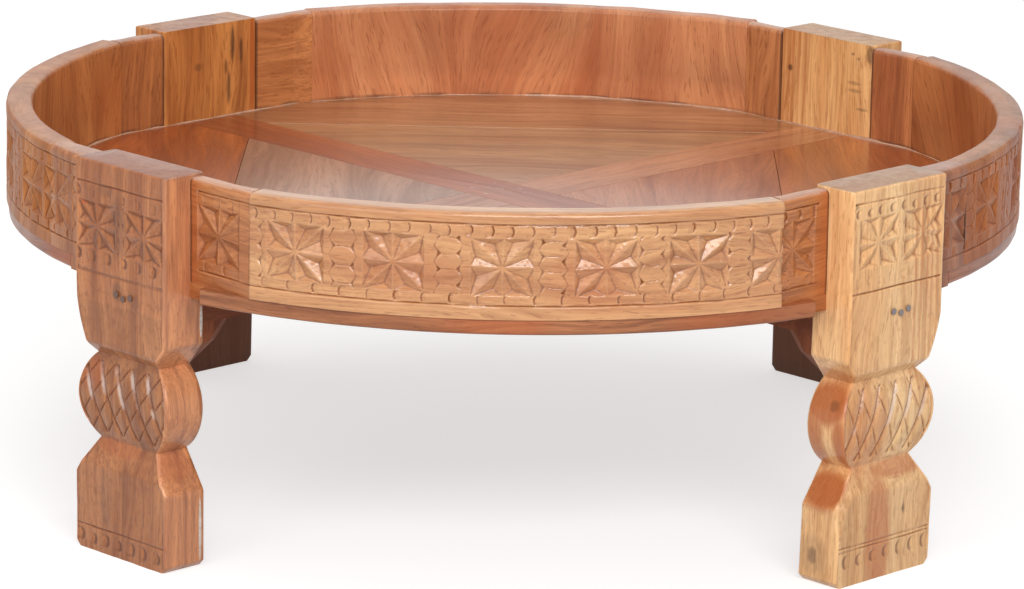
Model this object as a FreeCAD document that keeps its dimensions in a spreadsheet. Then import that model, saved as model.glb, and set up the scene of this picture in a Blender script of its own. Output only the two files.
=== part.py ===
import FreeCAD, Part
import os
from math import atan, cos, degrees, radians, sin
from types import SimpleNamespace

import Sketcher

# Low round tray table: a carved wooden wall on four plank legs, with a boarded floor.
# Millimetres, +Z up. The origin is on the ground, under the middle of the tray.
# A leg's own frame has +X pointing outward through the leg; a wall's, outward through its middle.

SIZES = {
    # Round wall
    "tray_radius": 375,
    "wall_thickness": 20,
    "tray_bottom": 195,
    "board_height": 73.8,
    "rail_setback": 1.5,
    "end_thickness": 13,
    "end_foot_width": 17,
    "rim_round": 4,
    "rail_round": 3,
    "line_width": 2,
    "line_depth": 1.2,
    "lip_height": 8.6,
    "strip_height": 9.3,
    # Lengths of the end blocks, from a leg's side to the splice
    "front_left_length": 59,
    "front_right_length": 46,
    "right_front_length": 36,
    "right_rear_length": 46,
    "rear_right_length": 39.5,
    "rear_left_length": 59,
    "left_rear_length": 46,
    "left_front_length": 46,
    # Legs; a lean moves the foot sideways
    "leg_width": 96,
    "leg_depth": 36,
    "leg_proud": 5,
    "leg_rise": 1.5,
    "foot_width": 98,
    "foot_height": 55,
    "foot_chamfer": 4,
    "foot_line_height": 22,
    "flare_height": 27,
    "low_neck_width": 62,
    "ball_width": 96,
    "ball_height": 61,
    "neck_width": 67,
    "shoulder_height": 39,
    "shoulder_swell": 2,
    "neck_recess": 8,
    "ball_recess": 1.5,
    "leg_band_top": 9,
    "leg_band_bottom": 12,
    "leg_top_round": 4,
    "rear_right_lean": 0,
    "rear_left_lean": 4,
    "front_left_lean": 0,
    "front_right_lean": -5,
    # Floor
    "floor_thickness": 11,
    "plank_width": 47,
    "floor_lap": 6.5,
    "board_gap": 0.4,
    "front_segment_depth": 145.5,
    "right_segment_depth": 161.5,
    "rear_segment_depth": 130.5,
    "left_segment_depth": 153.5,
    # Under the floor
    "batten_inset": 2,
    "batten_thickness": 21,
    "haunch_reach": 26,
    "haunch_drop": 31,
    "haunch_toe": 2,
    # Joinery
    "fit_gap": 0.2,
    "tenon_thickness": 6,
    "tenon_shoulder": 5,
    "tenon_height": 36,
    "tenon_length": 18,
    "key_thickness": 5,
    "key_height": 30,
    "key_length": 16,
    "dowel_diameter": 6,
    "dowel_length": 22,
    "dowel_depth": 8,
    "dowel_spread": 20,
    "nail_diameter": 3.2,
    "nail_length": 60,
    "nail_head": 4.6,
    "nail_head_height": 0.7,
    "nail_pitch": 7.5,
    "nail_shift": 4,
    "nail_drop": 4,
    "nail_stagger": 2,
}

LEGS = {"rear_right": 45, "rear_left": 135, "front_left": 225, "front_right": 315}

# Each wall faces outward at an angle and has a first and a second end, counter-clockwise.
WALLS = {
    "front": (270, "front_left", "front_right"),
    "right": (0, "right_front", "right_rear"),
    "rear": (90, "rear_right", "rear_left"),
    "left": (180, "left_rear", "left_front"),
}

UP = FreeCAD.Vector(0, 0, 1)


class Size:
    """A number together with the sheet formula that gives it."""

    def __init__(self, text, value):
        self.text = text
        self.value = value

    def __add__(self, other):
        other = as_size(other)
        return Size(f"({self.text} + {other.text})", self.value + other.value)

    def __radd__(self, other):
        return as_size(other) + self

    def __sub__(self, other):
        other = as_size(other)
        return Size(f"({self.text} - {other.text})", self.value - other.value)

    def __rsub__(self, other):
        return as_size(other) - self

    def __mul__(self, other):
        other = as_size(other)
        return Size(f"({self.text} * {other.text})", self.value * other.value)

    def __truediv__(self, other):
        other = as_size(other)
        return Size(f"({self.text} / {other.text})", self.value / other.value)

    def __neg__(self):
        return 0 - self


def as_size(number):
    if isinstance(number, Size):
        return number
    return Size(f"({float(number)})", float(number))


def root(size):
    return Size(f"sqrt({size.text})", size.value ** 0.5)


def cosine(turn):
    return Size(f"cos({turn.text})", cos(radians(turn.value)))


def sine(turn):
    return Size(f"sin({turn.text})", sin(radians(turn.value)))


def arctangent(slope):
    """An angle in degrees, from its tangent."""
    return Size(f"(atan({slope.text}) / 1 deg)", degrees(atan(slope.value)))


def across(radius, offset):
    """The other coordinate of a point on a circle."""
    return root(radius * radius - offset * offset)


# Document and sheet

doc = FreeCAD.newDocument("tray_table")
sheet = doc.addObject("Spreadsheet::Sheet", "sizes")
for row, (alias, number) in enumerate(SIZES.items(), start=1):
    sheet.set(f"A{row}", alias)
    sheet.set(f"B{row}", str(number))
    sheet.setAlias(f"B{row}", alias)
doc.recompute()

s = SimpleNamespace(**{alias: Size(f"sizes.{alias}", number) for alias, number in SIZES.items()})
nodes = []


# Levels and radii worked out from the driving sizes

floor_top = s.tray_bottom + s.floor_thickness
rail_top = floor_top + s.fit_gap
rim = rail_top + s.board_height
batten_bottom = s.tray_bottom - s.batten_thickness
board_middle = rail_top + s.board_height / 2

wall_inner = s.tray_radius - s.wall_thickness
floor_radius = wall_inner + s.floor_lap
rail_inner = floor_radius + s.board_gap
rail_outer = s.tray_radius - s.rail_setback
rail_middle = (rail_inner + rail_outer) / 2

leg_outer = s.tray_radius + s.leg_proud
leg_inner = leg_outer - s.leg_depth
leg_half = s.leg_width / 2
leg_top = rim + s.leg_rise
end_outer = leg_inner + s.end_thickness
end_middle = leg_inner + s.end_thickness / 2
rail_end_slope = (leg_half + s.end_foot_width) / end_middle
rail_end_turn = arctangent(rail_end_slope)
low_neck_level = s.foot_height + s.flare_height
neck_level = low_neck_level + s.ball_height
block_level = neck_level + s.shoulder_height

diagonal = root(as_size(0.5))
plank_edge = s.plank_width / 2 + s.board_gap
batten_width = s.leg_width - s.batten_inset * 2
nail_level = s.tray_bottom - s.nail_drop
dowel_bottom = rail_top - s.dowel_depth
dowel_top = dowel_bottom + s.dowel_length
dowel_hole = (s.dowel_diameter + s.fit_gap) / 2


# Helpers for bodies, sketches and features

def bind(item, prop, size):
    item.setExpression(prop, as_size(size).text)


def new_body(label, turn=0):
    body = doc.addObject("PartDesign::Body", label)
    body.Label = label
    body.Placement = FreeCAD.Placement(FreeCAD.Vector(), FreeCAD.Rotation(UP, turn))
    return body


def new_sketch(body, name, role, lift=0, turn=None):
    """A sketch on one of the body's origin planes, moved along or turned with that plane."""
    sketch = body.newObject("Sketcher::SketchObject", name)
    planes = [item for item in body.Origin.OriginFeatures if item.Role == role]
    sketch.AttachmentSupport = [(planes[0], "")]
    sketch.MapMode = "FlatFace"
    bind(sketch, "AttachmentOffset.Base.z", lift)
    if turn is not None:
        upright = FreeCAD.Rotation(FreeCAD.Vector(0, 1, 0), turn.value)
        sketch.AttachmentOffset = FreeCAD.Placement(FreeCAD.Vector(), upright)
        bind(sketch, "AttachmentOffset.Rotation.Angle", turn)
    return sketch


def pin(sketch, geometry, end, x, y):
    """Ties one point of a sketch to its formulas."""
    for kind, size in (("DistanceX", as_size(x)), ("DistanceY", as_size(y))):
        index = sketch.addConstraint(Sketcher.Constraint(kind, -1, 1, geometry, end, size.value))
        sketch.setExpression(f"Constraints[{index}]", size.text)


def flat(point):
    return FreeCAD.Vector(as_size(point[0]).value, as_size(point[1]).value, 0)


def outline(sketch, points):
    """A closed outline. A point with four numbers starts an arc through its last two."""
    edges = []
    for index, point in enumerate(points):
        start = flat(point)
        end = flat(points[(index + 1) % len(points)])
        if len(point) == 4:
            geometry = sketch.addGeometry(Part.Arc(start, flat(point[2:]), end), False)
            forward = sketch.getPoint(geometry, 1).distanceToPoint(start) < 1e-6
            edges.append((geometry, 1, 2) if forward else (geometry, 2, 1))
        else:
            edges.append((sketch.addGeometry(Part.LineSegment(start, end), False), 1, 2))
    for (geometry, start, end), (following, first, last) in zip(edges, edges[1:] + edges[:1]):
        sketch.addConstraint(Sketcher.Constraint("Coincident", geometry, end, following, first))
    for point, (geometry, start, end) in zip(points, edges):
        pin(sketch, geometry, start, point[0], point[1])
        if len(point) == 4:
            through = sketch.addGeometry(Part.Point(flat(point[2:])), True)
            pin(sketch, through, 1, point[2], point[3])
            sketch.addConstraint(Sketcher.Constraint("PointOnObject", through, 1, geometry))


def rectangle(sketch, low_x, high_x, low_y, high_y):
    outline(sketch, [(low_x, low_y), (high_x, low_y), (high_x, high_y), (low_x, high_y)])


def circle(sketch, x, y, radius):
    geometry = sketch.addGeometry(Part.Circle(flat((x, y)), UP, radius.value), False)
    pin(sketch, geometry, 3, x, y)
    index = sketch.addConstraint(Sketcher.Constraint("Radius", geometry, radius.value))
    sketch.setExpression(f"Constraints[{index}]", radius.text)


def pad(body, sketch, length, backward=False, both_ways=False):
    feature = body.newObject("PartDesign::Pad", sketch.Name + "_pad")
    feature.Profile = sketch
    bind(feature, "Length", length)
    feature.Reversed = backward
    feature.Midplane = both_ways
    return feature


def pocket(body, sketch, depth, backward=False, both_ways=False):
    feature = body.newObject("PartDesign::Pocket", sketch.Name + "_pocket")
    feature.Profile = sketch
    bind(feature, "Length", depth)
    feature.Reversed = backward
    feature.Midplane = both_ways
    return feature


def revolve(body, sketch, degrees, backward=False, both_ways=False):
    feature = body.newObject("PartDesign::Revolution", sketch.Name + "_revolution")
    feature.Profile = sketch
    feature.ReferenceAxis = (sketch, ["V_Axis"])
    bind(feature, "Angle", degrees)
    feature.Reversed = backward
    feature.Midplane = both_ways
    return feature


def turned_box(label, degrees, low, spans):
    """A box whose low corner and spans are given in a frame turned about Z."""
    box = doc.addObject("Part::Box", label)
    box.Label = label
    turn = as_size(degrees)
    bind(box, "Placement.Base.x", as_size(low[0]) * cosine(turn) - as_size(low[1]) * sine(turn))
    bind(box, "Placement.Base.y", as_size(low[0]) * sine(turn) + as_size(low[1]) * cosine(turn))
    bind(box, "Placement.Base.z", low[2])
    box.Placement.Rotation = FreeCAD.Rotation(UP, turn.value)
    bind(box, "Placement.Rotation.Angle", turn)
    for prop, span in zip(("Length", "Width", "Height"), spans):
        bind(box, prop, span)
    return box


def group(label, members, turn=0):
    """Like pieces that share one node."""
    bundle = doc.addObject("Part::Compound", label)
    bundle.Label = label
    bundle.Links = members
    bundle.Placement = FreeCAD.Placement(FreeCAD.Vector(), FreeCAD.Rotation(UP, turn))
    return bundle


def bevel_point(x, y, radius, side_x, side_y):
    """The middle of a rounded corner, inside the corner on the given sides."""
    cut = radius * (1 - diagonal)
    return x - cut * side_x, y - cut * side_y


def beside_leg(reach, offset, side):
    """A point of the leg's own frame, seen from a wall whose leg stands 45 degrees to one side."""
    return (reach + offset) * diagonal, (reach - offset) * diagonal * side


# Legs

def nail_places():
    """Sideways offset and level of each nail, on every leg."""
    return [
        (s.nail_shift - s.nail_pitch, nail_level),
        (s.nail_shift, nail_level - s.nail_stagger),
        (s.nail_shift + s.nail_pitch, nail_level),
    ]


def leg_silhouette(side, lean):
    """One side of the leg from the ground up, as seen from outside the table."""
    foot = s.foot_width / 2 * side
    low_neck = s.low_neck_width / 2 * side
    neck = s.neck_width / 2 * side
    block = leg_half * side
    ball = s.ball_width / 2 * side
    swell = (neck + block) / 2 + s.shoulder_swell * side
    upright = {
        "sole": (foot - s.foot_chamfer * side, as_size(0)),
        "foot_low": (foot, s.foot_chamfer),
        "foot_high": (foot, s.foot_height),
        "low_neck": (low_neck, low_neck_level),
        "ball": (ball, low_neck_level + s.ball_height / 2),
        "neck": (neck, neck_level),
        "swell": (swell, neck_level + s.shoulder_height / 2),
    }
    points = {name: (offset + lean * (1 - level / block_level), level)
              for name, (offset, level) in upright.items()}
    points["block"] = (block, block_level)
    points["top"] = (block, leg_top)
    return points


def cut_line(sketch, level):
    """A scribed line across the outer face of a leg."""
    rectangle(sketch, leg_outer - s.line_depth, leg_outer + s.line_depth,
              level - s.line_width / 2, level + s.line_width / 2)


def make_leg(corner, angle):
    body = new_body(f"leg_{corner}", angle)

    sketch = new_sketch(body, f"silhouette_{corner}", "YZ_Plane", lift=leg_inner)
    lean = getattr(s, f"{corner}_lean")
    right = leg_silhouette(1, lean)
    left = leg_silhouette(-1, lean)
    outline(sketch, [
        right["sole"], right["foot_low"], right["foot_high"],
        right["low_neck"] + right["ball"], right["neck"] + right["swell"],
        right["block"], right["top"], left["top"],
        left["block"] + left["swell"], left["neck"] + left["ball"],
        left["low_neck"], left["foot_high"], left["foot_low"], left["sole"],
    ])
    pad(body, sketch, s.leg_depth)

    sketch = new_sketch(body, f"outer_face_{corner}", "XZ_Plane")
    recess = leg_outer - s.neck_recess
    clear = leg_outer + s.neck_recess
    low = s.foot_height + s.neck_recess
    high = neck_level + s.neck_recess
    outline(sketch, [
        (clear, low), (clear, high), (leg_outer, high),
        (recess, neck_level, leg_outer - s.ball_recess, low_neck_level + s.ball_height / 2),
        (recess, low_neck_level), (leg_outer, low),
    ])
    top_round = leg_outer - s.leg_top_round
    outline(sketch, [
        (top_round, leg_top, *bevel_point(leg_outer, leg_top, s.leg_top_round, 1, 1)),
        (leg_outer, leg_top - s.leg_top_round), (clear, leg_top - s.leg_top_round),
        (clear, leg_top + s.leg_top_round), (top_round, leg_top + s.leg_top_round),
    ])
    cut_line(sketch, rim - s.leg_band_top)
    cut_line(sketch, s.tray_bottom + s.leg_band_bottom)
    cut_line(sketch, s.foot_line_height)
    pocket(body, sketch, s.foot_width + s.leg_width, both_ways=True)

    slot_inner = leg_inner + s.tenon_shoulder - s.fit_gap
    slot_outer = leg_inner + s.tenon_shoulder + s.tenon_thickness + s.fit_gap
    half_tall = s.tenon_height / 2 + s.fit_gap
    for name, side in (("first", 1), ("second", -1)):
        sketch = new_sketch(body, f"mortise_{name}_{corner}", "XZ_Plane", lift=leg_half * -side)
        rectangle(sketch, slot_inner, slot_outer,
                  board_middle - half_tall, board_middle + half_tall)
        pocket(body, sketch, s.tenon_length + s.fit_gap, backward=(side == 1))

    sketch = new_sketch(body, f"nail_holes_{corner}", "YZ_Plane", lift=leg_outer)
    for offset, level in nail_places():
        circle(sketch, offset, level, s.nail_diameter / 2)
    pocket(body, sketch, s.leg_depth)
    nodes.append(body)


def make_nails(corner, angle):
    nails = []
    for index, (offset, level) in enumerate(nail_places()):
        body = new_body(f"nail_{corner}_{index + 1}")
        sketch = new_sketch(body, f"shank_{corner}_{index + 1}", "YZ_Plane", lift=leg_outer)
        circle(sketch, offset, level, s.nail_diameter / 2)
        pad(body, sketch, s.nail_length, backward=True)
        sketch = new_sketch(body, f"head_{corner}_{index + 1}", "YZ_Plane", lift=leg_outer)
        circle(sketch, offset, level, s.nail_head / 2)
        pad(body, sketch, s.nail_head_height)
        nails.append(body)
    nodes.append(group(f"nails_leg_{corner}", nails, angle))


def make_haunch(corner, angle):
    body = new_body(f"haunch_{corner}", angle)
    sketch = new_sketch(body, f"haunch_side_{corner}", "XZ_Plane")
    toe = leg_inner - s.haunch_reach
    outline(sketch, [
        (toe, batten_bottom), (toe, batten_bottom - s.haunch_toe),
        (leg_inner, batten_bottom - s.haunch_drop), (leg_inner, batten_bottom),
    ])
    pad(body, sketch, batten_width, both_ways=True)
    nodes.append(body)


# Round wall

def end_length(end):
    return getattr(s, f"{end}_length")


def splice_slope(end):
    """Offset over reach, in a leg's own frame, of the splice beside that leg."""
    return (leg_half + end_length(end)) / end_middle


def splice_turn(end):
    """Angle from the middle of a leg to the splice of the end block beside it."""
    return arctangent(splice_slope(end))


def key_radius(end):
    return end_middle / cosine(splice_turn(end))


def board_section(sketch, inner, outer):
    """Section of a carved board: two scribed lines, rounded top edges."""
    lower_line = rail_top + s.strip_height
    upper_line = rim - s.lip_height
    half_line = s.line_width / 2
    groove = outer - s.line_depth
    shoulder = rim - s.rim_round
    outline(sketch, [
        (inner, rail_top), (outer, rail_top),
        (outer, lower_line - half_line), (groove, lower_line), (outer, lower_line + half_line),
        (outer, upper_line - half_line), (groove, upper_line), (outer, upper_line + half_line),
        (outer, shoulder, *bevel_point(outer, rim, s.rim_round, 1, 1)),
        (outer - s.rim_round, rim),
        (inner + s.rim_round, rim, *bevel_point(inner, rim, s.rim_round, -1, 1)),
        (inner, shoulder),
    ])


def key_slot_section(sketch, end):
    half_thick = s.key_thickness / 2 + s.fit_gap
    half_tall = s.key_height / 2 + s.fit_gap
    rectangle(sketch, key_radius(end) - half_thick, key_radius(end) + half_thick,
              board_middle - half_tall, board_middle + half_tall)


def make_carved_board(wall):
    facing, first_end, second_end = WALLS[wall]
    first = 45 - splice_turn(first_end)
    span = first + 45 - splice_turn(second_end)
    body = new_body(f"carved_board_{wall}")
    body.Placement.Rotation = FreeCAD.Rotation(UP, facing - first.value)
    bind(body, "Placement.Rotation.Angle", 360 + facing - first)

    sketch = new_sketch(body, f"board_section_{wall}", "XZ_Plane")
    board_section(sketch, wall_inner, s.tray_radius)
    revolve(body, sketch, span)

    half_key = s.key_length / 2 + s.fit_gap
    sketch = new_sketch(body, f"first_key_slot_{wall}", "XZ_Plane")
    key_slot_section(sketch, first_end)
    pocket(body, sketch, half_key)
    sketch = new_sketch(body, f"second_key_slot_{wall}", "XZ_Plane", turn=span)
    key_slot_section(sketch, second_end)
    pocket(body, sketch, half_key, backward=True)

    sketch = new_sketch(body, f"board_dowel_holes_{wall}", "XY_Plane", lift=rail_top)
    for turn in (first - s.dowel_spread, first, first + s.dowel_spread):
        circle(sketch, rail_middle * cosine(turn), rail_middle * sine(turn), dowel_hole)
    pocket(body, sketch, dowel_top - rail_top + s.fit_gap, backward=True)
    nodes.append(body)


def make_end_block(end, leg_angle, side):
    """A straight board from a splice to the leg beside it, with a foot between rail and leg."""
    body = new_body(f"end_block_{end}", leg_angle)
    slope = splice_slope(end)

    sketch = new_sketch(body, f"end_section_{end}", "XZ_Plane", lift=leg_half * -side)
    board_section(sketch, leg_inner, end_outer)
    pad(body, sketch, end_outer * slope - leg_half + s.end_thickness, backward=(side == 1))

    sketch = new_sketch(body, f"splice_cut_{end}", "XY_Plane", lift=rail_top)
    near = leg_inner - s.end_thickness
    far = end_outer + s.end_thickness
    clear = (far * slope + s.leg_width) * side
    outline(sketch, [
        (near, near * slope * side), (far, far * slope * side), (far, clear), (near, clear),
    ])
    pocket(body, sketch, s.board_height, backward=True)

    sketch = new_sketch(body, f"end_foot_{end}", "XY_Plane", lift=s.tray_bottom)
    outline(sketch, [
        (leg_inner, leg_half * side), (end_outer, leg_half * side),
        (end_outer, end_outer * rail_end_slope * side),
        (leg_inner, leg_inner * rail_end_slope * side),
    ])
    pad(body, sketch, rail_top - s.tray_bottom)

    sketch = new_sketch(body, f"tenon_{end}", "XZ_Plane",
                        lift=(leg_half - s.tenon_length) * -side)
    tenon_inner = leg_inner + s.tenon_shoulder
    rectangle(sketch, tenon_inner, tenon_inner + s.tenon_thickness,
              board_middle - s.tenon_height / 2, board_middle + s.tenon_height / 2)
    pad(body, sketch, s.tenon_length + s.tenon_thickness / 4, backward=(side == 1))

    sketch = new_sketch(body, f"key_slot_{end}", "XZ_Plane", turn=splice_turn(end) * side)
    key_slot_section(sketch, end)
    pocket(body, sketch, s.key_length / 2 + s.fit_gap, backward=(side == 1))
    nodes.append(body)


def make_splice_keys():
    keys = []
    for facing, first_end, second_end in WALLS.values():
        for end, side in ((first_end, -1), (second_end, 1)):
            angle = 360 + facing + (45 - splice_turn(end)) * side
            low = (key_radius(end) - s.key_thickness / 2, -s.key_length / 2,
                   board_middle - s.key_height / 2)
            spans = (s.key_thickness, s.key_length, s.key_height)
            keys.append(turned_box(f"splice_key_{end}", angle, low, spans))
    nodes.append(group("splice_keys", keys))


def rail_dowel_places():
    """Dowel centres along one wall, in that wall's own frame."""
    turns = (-s.dowel_spread, as_size(0), s.dowel_spread)
    return [(rail_middle * cosine(turn), rail_middle * sine(turn)) for turn in turns]


def make_lower_rail(wall):
    """A curved rail beside the floor's edge, rounded below, which carries the board above it."""
    body = new_body(f"lower_rail_{wall}", WALLS[wall][0])
    sketch = new_sketch(body, f"rail_section_{wall}", "XZ_Plane")
    bottom = s.tray_bottom
    outline(sketch, [
        (rail_inner, bottom),
        (rail_outer - s.rail_round, bottom, *bevel_point(rail_outer, bottom, s.rail_round, 1, -1)),
        (rail_outer, bottom + s.rail_round), (rail_outer, rail_top), (rail_inner, rail_top),
    ])
    revolve(body, sketch, 90 - rail_end_turn * 2, both_ways=True)

    sketch = new_sketch(body, f"rail_dowel_holes_{wall}", "XY_Plane", lift=rail_top)
    for x, y in rail_dowel_places():
        circle(sketch, x, y, dowel_hole)
    pocket(body, sketch, s.dowel_depth + s.fit_gap)
    nodes.append(body)


def make_rail_dowels(wall):
    dowels = []
    for index, (x, y) in enumerate(rail_dowel_places()):
        dowel = doc.addObject("Part::Cylinder", f"rail_dowel_{wall}_{index + 1}")
        bind(dowel, "Radius", s.dowel_diameter / 2)
        bind(dowel, "Height", s.dowel_length)
        bind(dowel, "Placement.Base.x", x)
        bind(dowel, "Placement.Base.y", y)
        bind(dowel, "Placement.Base.z", dowel_bottom)
        dowels.append(dowel)
    nodes.append(group(f"rail_dowels_{wall}", dowels, WALLS[wall][0]))


# Floor

def make_cross_planks():
    """One plank runs through from rear left to front right; the other two halves butt against it."""
    end = leg_inner - s.board_gap
    half_width = s.plank_width / 2
    nodes.append(turned_box("cross_plank_long", LEGS["rear_left"],
                            (-end, -half_width, s.tray_bottom),
                            (end * 2, s.plank_width, s.floor_thickness)))
    for corner in ("front_left", "rear_right"):
        nodes.append(turned_box(f"cross_plank_half_{corner}", LEGS[corner],
                                (plank_edge, -half_width, s.tray_bottom),
                                (end - plank_edge, s.plank_width, s.floor_thickness)))


def floor_joint(wall):
    """Distance from the middle of the tray to the joint between a quarter's two boards."""
    return floor_radius - getattr(s, f"{wall}_segment_depth")


def make_floor_panel(wall):
    """Three-cornered board between two cross planks, its point towards the middle."""
    body = new_body(f"floor_panel_{wall}", WALLS[wall][0])
    sketch = new_sketch(body, f"panel_outline_{wall}", "XY_Plane", lift=s.tray_bottom)
    joint = floor_joint(wall)
    tip = plank_edge / diagonal
    outline(sketch, [(tip, 0), (joint, tip - joint), (joint, joint - tip)])
    pad(body, sketch, s.floor_thickness)
    nodes.append(body)


def make_floor_segment(wall):
    """Outer board of a floor quarter, round on the outside and notched for legs and end blocks."""
    body = new_body(f"floor_segment_{wall}", WALLS[wall][0])
    sketch = new_sketch(body, f"segment_outline_{wall}", "XY_Plane", lift=s.tray_bottom)
    joint = floor_joint(wall) + s.board_gap
    half_joint = joint - plank_edge / diagonal
    end = leg_inner - s.board_gap
    notch = end_outer * rail_end_slope + s.board_gap
    curve_end = across(floor_radius, notch)
    first = [beside_leg(end, plank_edge, -1), beside_leg(end, notch, -1),
             beside_leg(curve_end, notch, -1) + (floor_radius, 0)]
    second = [beside_leg(curve_end, notch, 1), beside_leg(end, notch, 1),
              beside_leg(end, plank_edge, 1)]
    outline(sketch, [(joint, -half_joint)] + first + second + [(joint, half_joint)])
    pad(body, sketch, s.floor_thickness)
    nodes.append(body)


# Under the floor

def make_batten(label, angle, lap_on_top):
    """A batten from leg to leg, halved into the other one where they cross."""
    body = new_body(label, angle)
    half = batten_width / 2
    sketch = new_sketch(body, f"{label}_outline", "XY_Plane", lift=batten_bottom)
    rectangle(sketch, -leg_inner, leg_inner, -half, half)
    pad(body, sketch, s.batten_thickness)

    level = s.tray_bottom if lap_on_top else batten_bottom
    sketch = new_sketch(body, f"{label}_lap", "XY_Plane", lift=level)
    lap = half + s.fit_gap
    rectangle(sketch, -lap, lap, -batten_width, batten_width)
    pocket(body, sketch, s.batten_thickness / 2, backward=not lap_on_top)

    for name, side in (("near", 1), ("far", -1)):
        sketch = new_sketch(body, f"{label}_nails_{name}", "YZ_Plane", lift=leg_inner * side)
        for offset, height in nail_places():
            circle(sketch, offset * side, height, s.nail_diameter / 2)
        pocket(body, sketch, s.nail_length - s.leg_depth + s.fit_gap, backward=(side == -1))
    nodes.append(body)


# Assembly

for corner, angle in LEGS.items():
    make_leg(corner, angle)
    make_haunch(corner, angle)
    make_nails(corner, angle)

for wall, (facing, first_end, second_end) in WALLS.items():
    make_carved_board(wall)
    make_end_block(first_end, facing - 45, 1)
    make_end_block(second_end, facing + 45, -1)
    make_lower_rail(wall)
    make_rail_dowels(wall)
    make_floor_panel(wall)
    make_floor_segment(wall)

make_splice_keys()
make_cross_planks()
make_batten("batten_under_long_plank", LEGS["rear_left"], True)
make_batten("batten_under_half_planks", LEGS["rear_right"], False)
doc.recompute()


# Check and write

for item in doc.Objects:
    if "Invalid" in item.State or "Error" in item.State:
        raise RuntimeError(f"{item.Label} did not compute")
for node in nodes:
    if node.Shape.isNull() or not node.Shape.isValid():
        raise RuntimeError(f"{node.Label} has no valid shape")

os.makedirs("parts", exist_ok=True)
for node in nodes:
    node.Shape.exportStep(f"parts/{node.Label}.step")
    print(f"{node.Label}: {len(node.Shape.Solids)} solid(s), {node.Shape.Volume / 1000:.1f} cm3")
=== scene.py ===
from math import atan, atan2, cos, pi, radians, sin

import bmesh
import bpy
import numpy as np
from mathutils import Matrix, Vector


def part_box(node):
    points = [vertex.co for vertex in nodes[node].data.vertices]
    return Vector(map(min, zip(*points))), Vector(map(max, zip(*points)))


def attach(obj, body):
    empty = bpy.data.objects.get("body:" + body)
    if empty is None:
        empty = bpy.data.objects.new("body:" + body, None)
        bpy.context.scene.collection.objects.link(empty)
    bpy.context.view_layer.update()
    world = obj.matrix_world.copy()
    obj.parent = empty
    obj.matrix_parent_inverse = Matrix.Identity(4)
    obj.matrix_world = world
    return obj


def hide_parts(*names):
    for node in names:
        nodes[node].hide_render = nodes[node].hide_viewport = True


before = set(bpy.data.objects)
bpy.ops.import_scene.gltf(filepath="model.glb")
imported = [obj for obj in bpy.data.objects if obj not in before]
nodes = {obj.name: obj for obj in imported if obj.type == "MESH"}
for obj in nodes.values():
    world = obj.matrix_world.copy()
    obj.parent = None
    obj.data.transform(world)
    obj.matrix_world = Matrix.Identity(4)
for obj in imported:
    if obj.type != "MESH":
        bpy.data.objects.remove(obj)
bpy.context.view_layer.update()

# A low round tray table: walls, end blocks, rails, legs and haunches are built here over their CAD
# nodes, and the other nodes keep their CAD shapes. Metres, +Z up, the same frame as the CAD.
# In a leg's own frame, out goes outward through the leg and offset to the right, as seen from outside.

MM = 0.001

# Levels and radii, taken from the frame
TRAY_RADIUS = -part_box("carved_board_front")[0][1]
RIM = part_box("carved_board_front")[1][2]
RAIL_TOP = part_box("carved_board_front")[0][2]
TRAY_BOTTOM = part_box("lower_rail_front")[0][2]
FLOOR_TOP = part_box("floor_panel_front")[1][2]
LEG_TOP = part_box("leg_front_left")[1][2]
HAUNCH_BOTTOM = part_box("haunch_front_left")[0][2]
BATTEN_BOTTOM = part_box("haunch_front_left")[1][2]

# Sizes that the part's source also has
WALL_INNER = TRAY_RADIUS - 20 * MM
LEG_OUTER = TRAY_RADIUS + 5 * MM
LEG_INNER = LEG_OUTER - 36 * MM
LEG_HALF = 48 * MM
END_OUTER = LEG_INNER + 13 * MM
END_MIDDLE = (LEG_INNER + END_OUTER) / 2
END_FOOT = 17 * MM
RAIL_OUTER = TRAY_RADIUS - 1.5 * MM
RAIL_INNER = TRAY_RADIUS - 13.1 * MM
RAIL_ROUND = 3 * MM
STRIP_LINE = RAIL_TOP + 9.3 * MM
LIP_LINE = RIM - 8.6 * MM
LINE_HALF = 1.1 * MM
LINE_DEPTH = 1.2 * MM
RIM_ROUND = 4 * MM
FOOT_HALF = 49 * MM
FOOT_CHAMFER = 4 * MM
FOOT_HEIGHT = 55 * MM
LOW_NECK_HALF = 31 * MM
LOW_NECK_LEVEL = 82 * MM
BALL_HALF = 48 * MM
BALL_LEVEL = 112.5 * MM
BALL_RECESS = 1.5 * MM
NECK_HALF = 33.5 * MM
NECK_LEVEL = 143 * MM
NECK_RECESS = 8 * MM
SWELL_HALF = 42.75 * MM
SWELL_LEVEL = 162.5 * MM
BLOCK_LEVEL = 182 * MM
SHORT_SHOULDER_LEVEL = 161 * MM
LEG_TOP_ROUND = 2 * MM
BATTEN_HALF = 46 * MM
HAUNCH_REACH = 26 * MM

LEGS = {"rear_right": 45, "rear_left": 135, "front_left": 225, "front_right": 315}
LEANS = {"rear_right": 0, "rear_left": 4 * MM, "front_left": 0, "front_right": -5 * MM}

# Each end block: its leg, the side of that leg, its length, and the offset of its star
END_BLOCKS = {
    "front_left": ("front_left", 1, 59 * MM, 77 * MM),
    "front_right": ("front_right", -1, 46 * MM, -83 * MM),
    "right_front": ("front_right", 1, 36 * MM, 66 * MM),
    "right_rear": ("rear_right", -1, 46 * MM, -74 * MM),
    "rear_right": ("rear_right", 1, 39.5 * MM, 72 * MM),
    "rear_left": ("rear_left", -1, 59 * MM, -78 * MM),
    "left_rear": ("rear_left", 1, 46 * MM, 74 * MM),
    "left_front": ("front_left", -1, 46 * MM, -88.8 * MM),
}

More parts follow.
